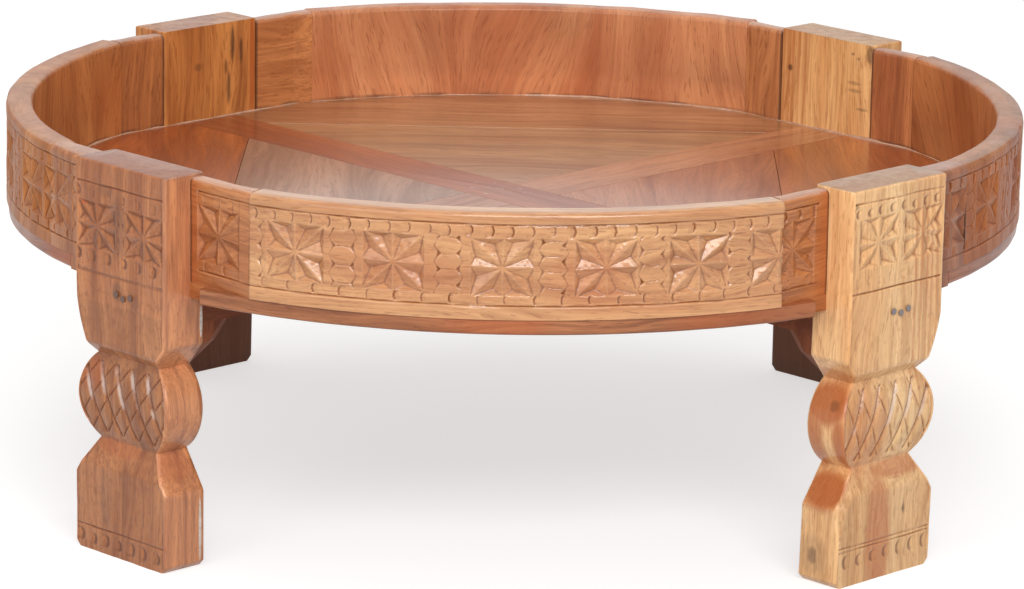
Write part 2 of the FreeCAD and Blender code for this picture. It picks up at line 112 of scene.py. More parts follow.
# End blocks whose grain stands upright, and those whose face carries on the round of the wall
UPRIGHT_ENDS = ("left_rear", "right_rear", "rear_right", "left_front", "right_front")
FLUSH_ENDS = ("left_front", "right_front")

# Each wall: the way it faces, the end blocks at its two ends, and its stars in degrees
WALLS = {
    "front": (270, "front_left", "front_right", (-22.5, -11.8, -0.5, 10.2, 20.1, 29.3)),
    "right": (0, "right_front", "right_rear", (-25.5, -12.6, -1.2, 9.8, 20.8)),
    "rear": (90, "rear_right", "rear_left", (-26.2, -15.4, -4.7, 6.1, 16.8)),
    "left": (180, "left_rear", "left_front", (-21.2, -10.5, 0.2, 12.4, 24.2, 31.3)),
}

# The carved band of a wall: its stars, the columns of lobes between them, and its rows of small cuts
STAR_WIDTH = 43 * MM
STAR_HEIGHT = 40 * MM
COLUMN_HALF = 21 * MM
COLUMN_FROM_STAR = 35 * MM
COLUMN_LEAST_GAP = 60 * MM
UPPER_PITCH = 13.9 * MM
LOWER_PITCH = 19 * MM

# Rows of points along a board, an end block and a rail, and the depth at which the painted shade in a wall's
# cut is darkest
BOARD_ROWS = 632
END_ROWS = 110
RAIL_ROWS = 260
DARK_DEPTH = 0.36 * MM

# How rounded the ends of a board are beside a flat and a flush end block
OPEN_ROUND = 2.5 * MM
FLUSH_ROUND = 0.5 * MM

# How much darker each wall is outside and on its rim, how pale some rims are with a painted sheen, and how
# deep a rim's top is
WALL_TONES = {"front": (0, -0.08), "right": (-0.17, -0.2), "rear": (0, 0), "left": (0, -0.06)}
RIM_SHEEN = 0.22
RIM_EDGE = 1.5 * MM

# Spots on the inside of the rear wall: place, size and strength, in millimetres
REAR_KNOTS = ((9.8, 226, 2.6, 2.6, 1), (-64.8, 226, 3.4, 1.8, 1))
REAR_PALE_SPOT = (-90, 262, 8, 4, 0.3)


# Noise and carving. A cut is a depth below a flat face, with x to the right and y up

def ease(t):
    return t * t * (3 - 2 * t)


def fade(distance, reach, edge):
    """1 within a reach, then down to 0 over an edge."""
    return ease(np.clip((reach + edge - np.abs(distance)) / edge, 0, 1))


def soft_noise(x, y, cell, seed):
    """Smooth random bumps between -1 and 1, about a cell across, that repeat after a number of cells."""
    cells = 97
    lattice = np.random.default_rng(seed).uniform(-1, 1, (cells, cells))
    column = np.floor(x / cell).astype(int)
    row = np.floor(y / cell).astype(int)
    across = ease(x / cell - column)
    up = ease(y / cell - row)
    low, high = [lattice[column % cells, line % cells] * (1 - across)
                 + lattice[(column + 1) % cells, line % cells] * across for line in (row, row + 1)]
    return low * (1 - up) + high * up


def line_cut(distance, half_width, depth):
    """A V groove along a line."""
    return np.clip(1 - np.abs(distance) / half_width, 0, 1) * depth


def star_cut(x, y, width, height, random):
    """An eight-leaved star sunk in a rectangle: each leaf is a ridge, with a valley on either side."""
    ragged = 0.4 * MM * soft_noise(x, y, 8 * MM, int(random.integers(1000)))
    to_edge = np.minimum(width / 2 - np.abs(x), height / 2 - np.abs(y)) + ragged
    depth = np.maximum(to_edge, 0) * 0.8
    for index in range(8):
        tip_x = (1, 0.95, 0, -0.95, -1, -0.95, 0, 0.95)[index] * width
        tip_y = (0, 0.95, 1, 0.95, 0, -0.95, -1, -0.95)[index] * height
        angle = atan2(tip_y, tip_x) + random.uniform(-0.07, 0.07)
        along = x * cos(angle) + y * sin(angle)
        aside = y * cos(angle) - x * sin(angle)
        slope = np.where(aside > 0, random.uniform(0.36, 0.62), random.uniform(0.36, 0.62))
        depth = np.where(along > 0, np.minimum(depth, np.abs(aside) * slope), depth)
    return depth


def crescent_cut(x, y, radius, side, depth):
    """A thumbnail cut and the painted shade along its edge: a slope down to a curved stop, on the right for
    side 1.
    """
    reach = np.hypot(x * side + radius, y)
    slope = np.clip(1 - (radius - reach) / (radius * 0.8), 0, 1) ** 1.5
    stop = np.clip((radius - reach) / (0.5 * MM) + 1, 0, 1)
    taper = np.clip(1.3 - (y / (radius * 0.75)) ** 2, 0, 1) * (x * side > -radius)
    shade = np.clip((1.7 * MM * taper - np.abs(reach - radius - 0.5 * MM)) / (0.6 * MM), 0, 1)
    return slope * stop * taper * depth, shade


def crescent_row(x, y, places, radius, side, depth, random):
    """A row of thumbnail cuts, and the painted shade along their edges."""
    cuts = np.zeros(np.broadcast(x, y).shape)
    shades = np.zeros(cuts.shape)
    for place in places:
        size = radius * random.uniform(0.85, 1.12)
        across = x - place - random.uniform(-0.9, 0.9) * MM
        up = y - random.uniform(-0.6, 0.6) * MM
        cut, shade = crescent_cut(across, up, size, side, depth * random.uniform(0.55, 1.1))
        cuts = np.maximum(cuts, cut)
        shades = np.maximum(shades, shade)
    return cuts, shades


def chain_cut(x, y, half_height, random):
    """A column of lobes between two stars: two notched zigzag lines, and short ticks across between them."""
    period = random.uniform(10.5, 13) * MM
    phase = random.uniform(0, 1)
    uneven = soft_noise(x, y, 6 * MM, int(phase * 1000))
    depth = np.zeros(np.broadcast(x, y).shape)
    for side, shift in ((-1, 0), (1, random.choice([0, 0, 0.3, 0.5]))):
        wave = np.abs((y / period + phase + shift + 0.08 * uneven) % 1 - 0.5) * 2
        line = side * (random.uniform(5.4, 7.4) * MM + 3.4 * MM * wave)
        notch = np.clip(1 - wave * 1.8, 0, 1)
        cut = line_cut(x - line, (0.8 + 1.2 * notch) * MM, 1) * (0.45 + 1.3 * notch) * (1 + 0.5 * uneven) * MM
        depth = np.maximum(depth, cut)
    wave = np.abs((y / period + phase + 0.08 * uneven) % 1 - 0.5) * 2
    tick = line_cut(wave * period / 2, 0.8 * MM, random.choice([0, 0.3, 0.5]) * MM) * fade(x, 4 * MM, 2 * MM)
    return np.maximum(depth, tick) * fade(y, half_height - 2 * MM, 2 * MM)


def blot(x, y, spot):
    """A soft oval spot."""
    place_x, place_y, width, height, strength = spot
    return strength * fade(np.hypot((x / MM - place_x) / width, (y / MM - place_y) / height), 0.5, 0.5)


def scraped(x, y, seed):
    """The uneven hand-worked surface between the cuts."""
    broad = 0.17 * MM * (1 + soft_noise(x, y, 9 * MM, seed))
    fine = 0.14 * MM * (1 + soft_noise(x, y, 2.4 * MM, seed + 1))
    return broad + fine


def crevice(depth, reach, full):
    """How much deeper each point is cut than the wood about it, from -1 on ridges to 1 in cracks."""
    around = depth + np.zeros(depth.shape)
    for axis in (0, 1):
        around = sum(np.roll(around, shift, axis) for shift in range(-reach, reach + 1)) / (2 * reach + 1)
    return np.clip((depth - around) / full, -1, 1)


def scribed_line(x, distance, depth, seed):
    """A line scored by hand: it wavers a little and bites unevenly."""
    waver = 0.3 * MM * soft_noise(x, 0, 21 * MM, seed)
    bite = depth * (0.85 + 0.3 * soft_noise(x, 0, 11 * MM, seed + 1))
    return line_cut(distance + waver, LINE_HALF, 1) * bite


def scribed_lines(x, y, seed):
    return (scribed_line(x, y - STRIP_LINE, LINE_DEPTH, seed)
            + scribed_line(x, y - LIP_LINE, LINE_DEPTH, seed + 2))


def wall_carving(x, y, stars, columns, seed):
    """The carved band of the round wall: stars and columns of lobes between two rows of small cuts."""
    random = np.random.default_rng(seed)
    level = (STRIP_LINE + LIP_LINE) / 2 - 0.8 * MM
    cuts = [scribed_lines(x, y, seed + 3)]
    for star in stars:
        shift = random.uniform(-0.8, 0.8) * MM
        cuts.append(star_cut(x - star, y - level - shift, STAR_WIDTH, STAR_HEIGHT, random))
    cuts += [chain_cut(x - column, y - level, COLUMN_HALF, random) for column in columns]
    span = np.max(np.abs(x))
    upper = np.arange(-span, span, UPPER_PITCH) + random.uniform(0, 8) * MM
    lower = np.arange(-span, span, LOWER_PITCH) + random.uniform(0, 8) * MM
    cuts.append(crescent_row(x, y - LIP_LINE + 4.4 * MM, upper, 5.6 * MM, 1, 1.8 * MM, random)[0])
    cuts.append(crescent_row(x, y - STRIP_LINE - 4 * MM, lower, 5.4 * MM, -1, 1.5 * MM, random)[0])
    inside_band = (y > STRIP_LINE) & (y < LIP_LINE)
    return np.maximum.reduce(cuts) + np.where(inside_band, scraped(x, y, seed), 0)


# Mesh helpers

def spans(*stretches):
    """Evenly spaced numbers over stretches of (start, stop, count), each without its last one."""
    return np.concatenate([np.linspace(*stretch, endpoint=False) for stretch in stretches])


def joined(*parts):
    """Arrays of one shape, after broadcasting, side by side on a last axis."""
    return np.stack(np.broadcast_arrays(*parts), axis=-1)


def round_axis(radius, angle, height):
    """Points at an angle about the table's upright axis."""
    return joined(radius * np.cos(angle), radius * np.sin(angle), height)


def tube(points, endless=False):
    """Corners and faces of a tube of rings, which has a cap at each end or runs round into itself."""
    rows, ring = points.shape[:2]
    corner = np.arange(rows * ring).reshape(rows, ring)
    beside = np.roll(corner, -1, axis=1)
    sides = joined(corner, beside, np.roll(beside, -1, axis=0), np.roll(corner, -1, axis=0))
    corners = points.reshape(-1, 3)
    if endless:
        return corners, sides.reshape(-1, 4).tolist()
    caps = [corner[0, ::-1].tolist(), corner[-1].tolist()]
    return corners, sides[:-1].reshape(-1, 4).tolist() + caps


def turned(points, degrees):
    """Points turned about the table's upright axis."""
    turn = radians(degrees)
    return points @ np.array([[cos(turn), sin(turn), 0], [-sin(turn), cos(turn), 0], [0, 0, 1]])


def add_object(name, data):
    thing = bpy.data.objects.new(name, data)
    bpy.context.scene.collection.objects.link(thing)
    return thing


def add_piece(name, points, faces, material, slot, replaced=(), sharp=35, **fields):
    """A mesh that rides on the table, with fields at its vertices: grain, cavity, tone and marks."""
    mesh = bpy.data.meshes.new(name)
    mesh.from_pydata(points.tolist(), [], faces)
    for field, values in fields.items():
        kind, key = ("FLOAT_VECTOR", "vector") if field in ("grain", "marks") else ("FLOAT", "value")
        layer = mesh.attributes.new(field, kind, "POINT")
        layer.data.foreach_set(key, np.ascontiguousarray(values, dtype=np.float32).ravel())
    outward(mesh)
    mesh.shade_smooth()
    mesh.set_sharp_from_angle(angle=radians(sharp))
    mesh.materials.append(material)
    piece = add_object(name, mesh)
    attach(piece, "root")
    if replaced:
        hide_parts(*replaced)


def outward(mesh):
    """Turns the faces outward if the mesh is inside out."""
    shell = bmesh.new()
    shell.from_mesh(mesh)
    if shell.calc_volume(signed=True) < 0:
        mesh.flip_normals()
    shell.free()


# Shaders

# Waves per metre along, across and through the grain
DRIFT_WAVES = (4, 15, 15)
TONE_WAVES = (4, 26, 26)
BAND_WAVES = (5, 110, 110)
FIBRE_WAVES = (18, 460, 460)
PORE_WAVES = (90, 900, 900)

# Colours of what a piece carries: reddish wood, dirt with painted shade in cuts, a painted highlight on
# ridges, stains with painted shade, and a pale tint with painted sheen
REDDISH = (178, 88, 38)
CUT_SHADE = (112, 56, 24)
RIDGE_LIGHT = (250, 214, 174)
DARK_STAIN_AND_SHADE = (62, 40, 30)
PALE_TINT_AND_SHEEN = (222, 208, 198)
SCRATCH_WHITE = (236, 222, 206)


def paint(red, green, blue):
    """A screen colour of 0 to 255 as linear light."""
    channels = [value / 255 for value in (red, green, blue)]
    return tuple(v / 12.92 if v <= 0.04045 else ((v + 0.055) / 1.055) ** 2.4 for v in channels) + (1,)


def set_inputs(tree, node, values):
    """Links a node's inputs to other nodes' outputs, or sets their numbers or colours."""
    for place, value in values.items():
        if isinstance(value, bpy.types.NodeSocket):
            tree.links.new(value, node.inputs[place])
        else:
            node.inputs[place].default_value = value


def add_node(tree, kind, values, **settings):
    """A shader node with its settings made and its inputs filled."""
    node = tree.nodes.new(f"ShaderNode{kind}")
    for setting, value in settings.items():
        setattr(node, setting, value)
    set_inputs(tree, node, values)
    return node


def maths(tree, operation, first, second):
    return add_node(tree, "Math", {0: first, 1: second}, operation=operation).outputs[0]


def mixed(tree, factor, first, second, blend="MIX"):
    values = {0: factor, 6: first, 7: second}
    return add_node(tree, "Mix", values, data_type="RGBA", blend_type=blend).outputs[2]


def ranged(tree, value, low, high, to_low, to_high):
    """A number moved from one range to another and held within it."""
    values = {0: value, 1: low, 2: high, 3: to_low, 4: to_high}
    return add_node(tree, "MapRange", values).outputs[0]


def noise(tree, vector, stretch, seed, detail=3.0, roughness=0.55):
    """Noise with its own scale along, across and through the grain, in waves per metre."""
    mapping = add_node(tree, "Mapping", {"Vector": vector, "Scale": stretch})
    values = {"Vector": mapping.outputs[0], "W": seed * 7.31, "Scale": 1,
              "Detail": detail, "Roughness": roughness}
    return add_node(tree, "TexNoise", values, noise_dimensions="4D").outputs["Fac"]


def attribute(tree, name, output):
    return add_node(tree, "Attribute", {}, attribute_name=name).outputs[output]


def piece_grain(tree):
    """The grain that a piece built here carries with it."""
    return attribute(tree, "grain", "Vector")


def straight_grain(degrees):
    """Straight grain in a CAD node, along a level direction."""
    def grain(tree):
        place = add_node(tree, "TexCoord", {}).outputs["Object"]
        values = {"Vector": place, "Rotation": (0, 0, radians(-degrees))}
        return add_node(tree, "Mapping", values).outputs[0]
    return grain


def wandering(tree, vector, seed, figure):
    """Grain whose lines wander sideways by up to a figure's width."""
    drift = noise(tree, vector, DRIFT_WAVES, seed + 5, detail=2)
    move = add_node(tree, "CombineXYZ", {1: ranged(tree, drift, 0.25, 0.75, -figure, figure)})
    return add_node(tree, "VectorMath", {0: vector, 1: move.outputs[0]}).outputs[0]


def new_material(name):
    material = bpy.data.materials.new(name)
    material.use_nodes = True
    return material, material.node_tree, material.node_tree.nodes["Principled BSDF"]


def wood(name, pale, deep, grain, seed, streak=0.6, fibre=0.5, roughness=0.42, coat=0.25, specular=0.36,
         marked=True):
    """Lacquered wood: slow changes of tone, wandering darker streaks, fine fibres and pores."""
    material, tree, shader = new_material(name)
    along = wandering(tree, grain(tree), seed, 16 * MM)
    tone = noise(tree, along, TONE_WAVES, seed, detail=4)
    bands = noise(tree, along, BAND_WAVES, seed + 1, detail=5, roughness=0.6)
    fibres = noise(tree, along, FIBRE_WAVES, seed + 2, detail=4)
    pores = noise(tree, along, PORE_WAVES, seed + 3, detail=1)
    darker = paint(deep[0] * 0.74, deep[1] * 0.64, deep[2] * 0.54)
    colour = mixed(tree, ranged(tree, tone, 0.34, 0.66, 0, 1), paint(*deep), paint(*pale))
    colour = mixed(tree, ranged(tree, bands, 0.30, 0.52, streak, 0), colour, darker)
    colour = mixed(tree, ranged(tree, fibres, 0.28, 0.6, fibre, 0), colour, darker)
    colour = mixed(tree, ranged(tree, pores, 0.58, 0.66, 0, 0.45), colour, darker)
    if marked:
        colour = with_marks(tree, colour)
    grooves = maths(tree, "SUBTRACT", fibres, maths(tree, "MULTIPLY", pores, 0.6))
    bump = add_node(tree, "Bump", {"Strength": 0.35, "Distance": 0.3 * MM, "Height": grooves})
    set_inputs(tree, shader, {
        "Base Color": colour,
        "Roughness": ranged(tree, bands, 0.3, 0.7, roughness + 0.1, roughness - 0.08),
        "Specular IOR Level": specular,
        "Coat Weight": coat,
        "Coat Roughness": 0.16,
        "Normal": bump.outputs[0],
    })
    return material


def with_marks(tree, colour):
    """Adds what a piece carries: its tone, reddish wood, dark cuts of dirt and painted shade, a painted
    highlight on ridges, stains with painted shade, and a pale tint, mostly painted sheen and glints.
    """
    marks = add_node(tree, "SeparateXYZ", {0: attribute(tree, "marks", "Vector")}).outputs
    cavity = attribute(tree, "cavity", "Fac")
    lift = maths(tree, "ADD", attribute(tree, "tone", "Fac"), 1.0)
    colour = mixed(tree, 1.0, colour, lift, "MULTIPLY")
    # Dirt and painted shade in cuts, painted highlight on ridges, stains with painted shade, pale tint with
    # painted sheen
    tints = [(marks["Y"], REDDISH), (ranged(tree, cavity, 0.05, 1, 0, 0.75), CUT_SHADE),
             (ranged(tree, cavity, -0.2, -1, 0, 0.12), RIDGE_LIGHT),
             (marks["X"], DARK_STAIN_AND_SHADE), (marks["Z"], PALE_TINT_AND_SHEEN)]
    for strength, tint in tints:
        colour = mixed(tree, strength, colour, paint(*tint))
    return colour


def rusty_iron(name, clean, rusted):
    material, tree, shader = new_material(name)
    rust = noise(tree, straight_grain(0)(tree), (700, 700, 700), 99)
    set_inputs(tree, shader, {
        "Base Color": mixed(tree, rust, paint(*clean), paint(*rusted)),
        "Roughness": ranged(tree, rust, 0.3, 0.7, 0.4, 0.75),
        "Metallic": 0.3,
    })
    return material


# Round wall

def board_profile(inner, outer):
    """A board's section as a closed ring: reach, level, and which points are on the carved face."""
    shoulder = RIM - RIM_ROUND
    quarter = np.linspace(0, pi / 2, 6, endpoint=False)
    face = spans((RAIL_TOP, STRIP_LINE - 2 * MM, 6), (STRIP_LINE - 2 * MM, LIP_LINE + 2 * MM, 116),
                 (LIP_LINE + 2 * MM, shoulder, 4))
    reach = np.concatenate([
        spans((inner, outer, 4)), np.full(len(face), outer), outer - RIM_ROUND * (1 - np.cos(quarter)),
        spans((outer - RIM_ROUND, inner + RIM_ROUND, 4)), inner + RIM_ROUND * (1 - np.sin(quarter)),
        np.full(11, inner)])
    level = np.concatenate([
        np.full(4, RAIL_TOP), face, shoulder + RIM_ROUND * np.sin(quarter),
        np.full(4, RIM), shoulder + RIM_ROUND * np.cos(quarter),
        spans((shoulder, RAIL_TOP + 4 * MM, 7), (RAIL_TOP + 4 * MM, RAIL_TOP, 4))])
    place = np.arange(len(reach))
    on_face = (place >= 4) & (place < 4 + len(face))
    return reach, level, on_face


def end_inset(distance, radius):
    """How far a rounded end draws in, at a distance from that end."""
    short = np.clip(radius - distance, 0, radius)
    return radius - np.sqrt(radius ** 2 - short ** 2)


def end_angle(length):
    """From the middle of a wall to the end of a board, which is a length away from the leg."""
    return pi / 4 - atan((LEG_HALF + length) / END_MIDDLE)


def foot_line(along, level, inside, seed):
    """The uneven dark line at the foot of an inner face, above the floor."""
    strength = np.clip(0.35 + 0.5 * soft_noise(along, 0, 14 * MM, seed), 0, 0.6)
    return strength * fade(level - RAIL_TOP, 1.5 * MM, 1.5 * MM) * inside


def joint_line(distance):
    """The dark line at the end of a board."""
    return 0.65 * (distance < 0.4 * MM)


def make_carved_board(wall, material, seed):
    facing, first, second, stars = WALLS[wall]
    reach, level, on_face = board_profile(WALL_INNER, TRAY_RADIUS)
    start = -end_angle(END_BLOCKS[first][2]) * TRAY_RADIUS
    stop = end_angle(END_BLOCKS[second][2]) * TRAY_RADIUS
    along = np.linspace(start, stop, BOARD_ROWS)[:, None]
    places = [radians(star) * TRAY_RADIUS for star in stars]
    columns = [(a + b) / 2 for a, b in zip(places, places[1:]) if b - a > COLUMN_LEAST_GAP]
    columns = [places[0] - COLUMN_FROM_STAR] + columns + [places[-1] + COLUMN_FROM_STAR]
    depth = wall_carving(along, level, places, columns, seed) * on_face
    to_end = np.minimum(along - start, stop - along)
    rounds = [FLUSH_ROUND if end in FLUSH_ENDS else OPEN_ROUND for end in (first, second)]
    inset = np.maximum(end_inset(along - start, rounds[0]), end_inset(stop - along, rounds[1]))
    outside = reach > (WALL_INNER + TRAY_RADIUS) / 2
    worn = 0.25 * MM * (1 + soft_noise(along, level, 23 * MM, seed + 5))
    radius = reach - depth - (inset + worn) * outside
    height = level - (inset + worn) * (level > RIM - RIM_ROUND)
    angle = radians(facing) + along / TRAY_RADIUS
    corners, faces = tube(round_axis(radius, angle, height))
    inside = ~outside
    lean = 0.6 * soft_noise(along, 0, 120 * MM, seed + 4) * (height - FLOOR_TOP)
    lengthwise = (along, height, radius) if wall == "front" else (height, along + lean, radius)
    stain = np.maximum(joint_line(to_end), foot_line(along, level, inside, seed + 6))
    blush = 0.6 * np.clip(soft_noise(along, level, 60 * MM, seed + 9) - 0.3, 0, 0.5)
    outside_tone, rim_tone = WALL_TONES[wall]
    on_rim = height > RIM - RIM_EDGE
    tone = np.where(inside, 0.16 * soft_noise(along, level, 38 * MM, seed + 7), outside_tone)
    tone = tone + rim_tone * on_rim
    # A painted sheen on the rims of the side walls, in the pale tint
    pale = RIM_SHEEN * on_rim * (wall in ("left", "right"))
    if wall == "right":
        crack = fade(along - start, 0.9 * MM, 0.6 * MM) * fade(level - STRIP_LINE - 19 * MM, 16 * MM, 3 * MM)
        stain = np.maximum(stain, 0.95 * crack * outside)
        blush = np.maximum(blush, 0.3 * on_face)
    if wall == "rear":
        for spot in REAR_KNOTS:
            stain = np.maximum(stain, blot(along, level, spot) * inside)
        pale = np.maximum(pale, blot(along, level, REAR_PALE_SPOT) * inside)
        edge = (15 + 4 * soft_noise(along, 0, 30 * MM, seed + 8)) * MM
        tone = tone + 0.16 * fade(level - FLOOR_TOP, edge, 3 * MM) * inside
    add_piece(f"carved_wall_{wall}", corners, faces, material, "wall_wood", [f"carved_board_{wall}"],
              grain=joined(*lengthwise), cavity=crevice(depth, 2, DARK_DEPTH),
              marks=joined(stain, blush, pale), tone=tone)


def make_end_block(end, material, seed):
    """An end block, flat or flush with the wall. Near its splice, its inner face comes in to the wall's."""
    corner, side, length, star = END_BLOCKS[end]
    flush = end in FLUSH_ENDS
    slope = (LEG_HALF + length) / END_MIDDLE
    reach, level, on_face = board_profile(LEG_INNER, END_OUTER)
    part = np.linspace(0, 1, END_ROWS)[:, None]
    nominal = LEG_HALF + part * (reach * slope - LEG_HALF)
    inner_share = (END_OUTER - reach) / (END_OUTER - LEG_INNER)
    out = reach - inner_share * np.maximum(LEG_INNER - np.sqrt(WALL_INNER ** 2 - nominal ** 2), 0)
    if flush:
        rounded = LEG_HALF + part * (TRAY_RADIUS * cos(atan(slope)) * slope - LEG_HALF)
        out = out + (1 - inner_share) * (np.sqrt(TRAY_RADIUS ** 2 - rounded ** 2) - END_OUTER)
    offset = side * (LEG_HALF + part * (out * slope - LEG_HALF))
    if flush:
        depth = wall_carving(offset, level, [star], [star - side * 33 * MM], seed) * on_face
    else:
        depth = wall_carving(offset, level, [star], [], seed) * fade(offset - star, 21 * MM, 1 * MM)
        depth = np.maximum(depth, scribed_lines(offset, level, seed + 3) * (part > 0.2)) * on_face
    worn = 0.3 * MM * (1 + soft_noise(offset, level, 17 * MM, seed + 5))
    outside = reach > END_MIDDLE
    out = out - depth - worn * outside
    height = level - worn * (level > RIM - RIM_ROUND)
    corners, faces = tube(joined(out, offset, height))
    beside_leg = np.abs(offset) - LEG_HALF
    stain = np.maximum(0.7 * fade(beside_leg, 1 * MM, 1.2 * MM), foot_line(offset, level, ~outside, seed + 6))
    blush = np.clip(0.55 - beside_leg / (26 * MM), 0, 0.5) * outside * (not flush)
    # A painted sheen on the rim, in the pale tint
    pale = RIM_SHEEN * (height > RIM - RIM_EDGE)
    marks = joined(stain, blush, pale).reshape(-1, 3)

    foot_corners, foot_faces = tube(end_foot(side, flush))
    faces += [[index + len(corners) for index in face] for face in foot_faces]
    corners = np.concatenate([corners, foot_corners])
    add_piece(f"end_wall_{end}", turned(corners, LEGS[corner]), faces, material, "wall_wood",
              [f"end_block_{end}"], grain=corners[:, [2, 1, 0] if end in UPRIGHT_ENDS else [1, 2, 0]],
              cavity=np.concatenate([crevice(depth, 2, DARK_DEPTH).ravel(), np.zeros(len(foot_corners))]),
              marks=np.concatenate([marks, np.zeros((len(foot_corners), 3))]))


def end_foot(side, flush):
    """The part of an end block that goes down beside the leg, between it and the rail."""
    rise = np.linspace(TRAY_BOTTOM, RAIL_TOP, 8)[:, None]
    slope = (LEG_HALF + END_FOOT) / END_MIDDLE
    behind = LEG_INNER + 0.3 * MM
    near, far = END_OUTER, END_OUTER
    if flush:
        near, far = (RAIL_OUTER ** 2 - LEG_HALF ** 2) ** 0.5, RAIL_OUTER * cos(atan(slope))
    out = np.array([behind, near, far, behind])
    offset = side * np.array([LEG_HALF, LEG_HALF, far * slope, behind * slope])
    return joined(out, offset, rise)


def make_lower_rail(wall, material, seed):
    """A rail under a carved board, rounded below."""
    bend = np.linspace(0, pi / 2, 7, endpoint=False)
    middle = RAIL_OUTER - RAIL_ROUND
    reach = np.concatenate([
        spans((RAIL_INNER, middle, 3)), middle + RAIL_ROUND * np.sin(bend), np.full(6, RAIL_OUTER),
        spans((RAIL_OUTER, RAIL_INNER, 4)), [RAIL_INNER]])
    level = np.concatenate([
        np.full(3, TRAY_BOTTOM), TRAY_BOTTOM + RAIL_ROUND * (1 - np.cos(bend)),
        spans((TRAY_BOTTOM + RAIL_ROUND, RAIL_TOP, 6)), np.full(5, RAIL_TOP)])
    end = end_angle(END_FOOT) * TRAY_RADIUS
    along = np.linspace(-end, end, RAIL_ROWS)[:, None]
    inset = end_inset(end - np.abs(along), 2 * MM)
    worn = 0.3 * MM * (1 + soft_noise(along, level, 19 * MM, seed))
    radius = reach - (inset + worn) * (reach > RAIL_INNER + 1 * MM)
    angle = radians(WALLS[wall][0]) + along / TRAY_RADIUS
    corners, faces = tube(round_axis(radius, angle, level))
    blush = np.clip(soft_noise(along, level, 70 * MM, seed + 1), 0, 0.5)
    blank = np.zeros_like(radius)
    add_piece(f"round_rail_{wall}", corners, faces, material, "rail_wood", [f"lower_rail_{wall}"],
              grain=joined(along, level, radius), cavity=blank, marks=joined(blank, blush, blank))


def make_bead(material):
    """The glossy bead of lacquer where the floor meets the walls and the legs."""
    flat = (WALL_INNER ** 2 - LEG_INNER ** 2) ** 0.5
    turn = np.linspace(-pi / 4, pi / 4, 160, endpoint=False)
    corner = pi / 4 - atan(flat / LEG_INNER)
    reach = np.where(np.abs(turn) > corner, LEG_INNER / np.cos(pi / 4 - np.abs(turn)), WALL_INNER)
    radius = np.tile(reach, 4)[:, None]
    angle = (turn[None, :] + np.arange(4)[:, None] * pi / 2).reshape(-1, 1)
    swelling = soft_noise(angle, 0, 0.16, 7) + 0.5 * soft_noise(angle, 0, 0.04, 8)
    size = np.clip(0.9 + 0.9 * swelling, 0.25, 2) * MM
    inward = np.array([0, 1, 0.45, 0.15, 0])
    upward = np.array([0, 0, 0.15, 0.45, 1])
    points = round_axis(radius - inward * size, angle, FLOOR_TOP + upward * size)
    add_piece("floor_edge_bead", *tube(points, endless=True), material, "floor_wood")


# Legs

FACE, RIGHT, BACK, LEFT = range(4)
STAIN_AND_SHADE, BLUSH, PALE = range(3)

# Sides of legs where the shoulder is a short flat slope
SHORT_SHOULDERS = {"front_left": RIGHT, "front_right": LEFT}

# How rounded a leg's corners and top edges are, and how deep the painted sheen of its top goes
LEG_CORNER = 2.2 * MM
LEG_TOP_WEAR = 1.2 * MM
TOP_EDGE = 0.3 * MM

# How dark the painted shade along the edges of the small cuts is, and the depth at which the painted shade in
# a cut is darkest
LEFT_LEG_CUTS = (0.35, 0.3 * MM)
RIGHT_LEG_CUTS = (0.1, 0.65 * MM)

# Stretches of a leg's height and how many rows of points each has, most where the leg is carved
LEG_ROWS = ((0, 34 * MM, 64), (34 * MM, 78 * MM, 26), (78 * MM, 150 * MM, 116),
            (150 * MM, 204 * MM, 30), (204 * MM, 275 * MM, 148), (275 * MM, LEG_TOP, 16))

# A leg's carving: the width of a star, the ends of the rows of small cuts in millimetres, and how many
# cuts the foot has
LEG_STAR_WIDTH = 40 * MM
LEG_ROW = (-43, 38)
FOOT_ROW = (-41, 41)
FOOT_CUTS = 7


def arc_through(first, middle, last):
    """Offset against level on the circle through three (offset, level) points."""
    (ax, ay), (bx, by), (cx, cy) = first, middle, last
    twice = 2 * (ax * (by - cy) + bx * (cy - ay) + cx * (ay - by))
    a, b, c = ax ** 2 + ay ** 2, bx ** 2 + by ** 2, cx ** 2 + cy ** 2
    x = (a * (by - cy) + b * (cy - ay) + c * (ay - by)) / twice
    y = (a * (cx - bx) + b * (ax - cx) + c * (bx - ax)) / twice
    radius = ((ax - x) ** 2 + (ay - y) ** 2) ** 0.5
    side = 1 if bx > x else -1
    return lambda level: x + side * np.sqrt(np.maximum(radius ** 2 - (level - y) ** 2, 0))


def leg_half_width(level, side, corner):
    """Half the leg's width on one side at each level: foot, neck, ball, neck, block."""
    plain = np.interp(level, [0, FOOT_CHAMFER, FOOT_HEIGHT, LOW_NECK_LEVEL],
                      [FOOT_HALF - FOOT_CHAMFER, FOOT_HALF, FOOT_HALF, LOW_NECK_HALF])
    ball = arc_through((LOW_NECK_HALF, LOW_NECK_LEVEL), (BALL_HALF, BALL_LEVEL), (NECK_HALF, NECK_LEVEL))
    shoulder = arc_through((NECK_HALF, NECK_LEVEL), (SWELL_HALF, SWELL_LEVEL), (LEG_HALF, BLOCK_LEVEL))(level)
    if SHORT_SHOULDERS.get(corner) == side:
        shoulder = np.interp(level, [NECK_LEVEL, SHORT_SHOULDER_LEVEL], [NECK_HALF, LEG_HALF])
    width = np.where(level < LOW_NECK_LEVEL, plain, ball(level))
    width = np.where(level > NECK_LEVEL, shoulder, width)
    return np.where(level > BLOCK_LEVEL, LEG_HALF, width)


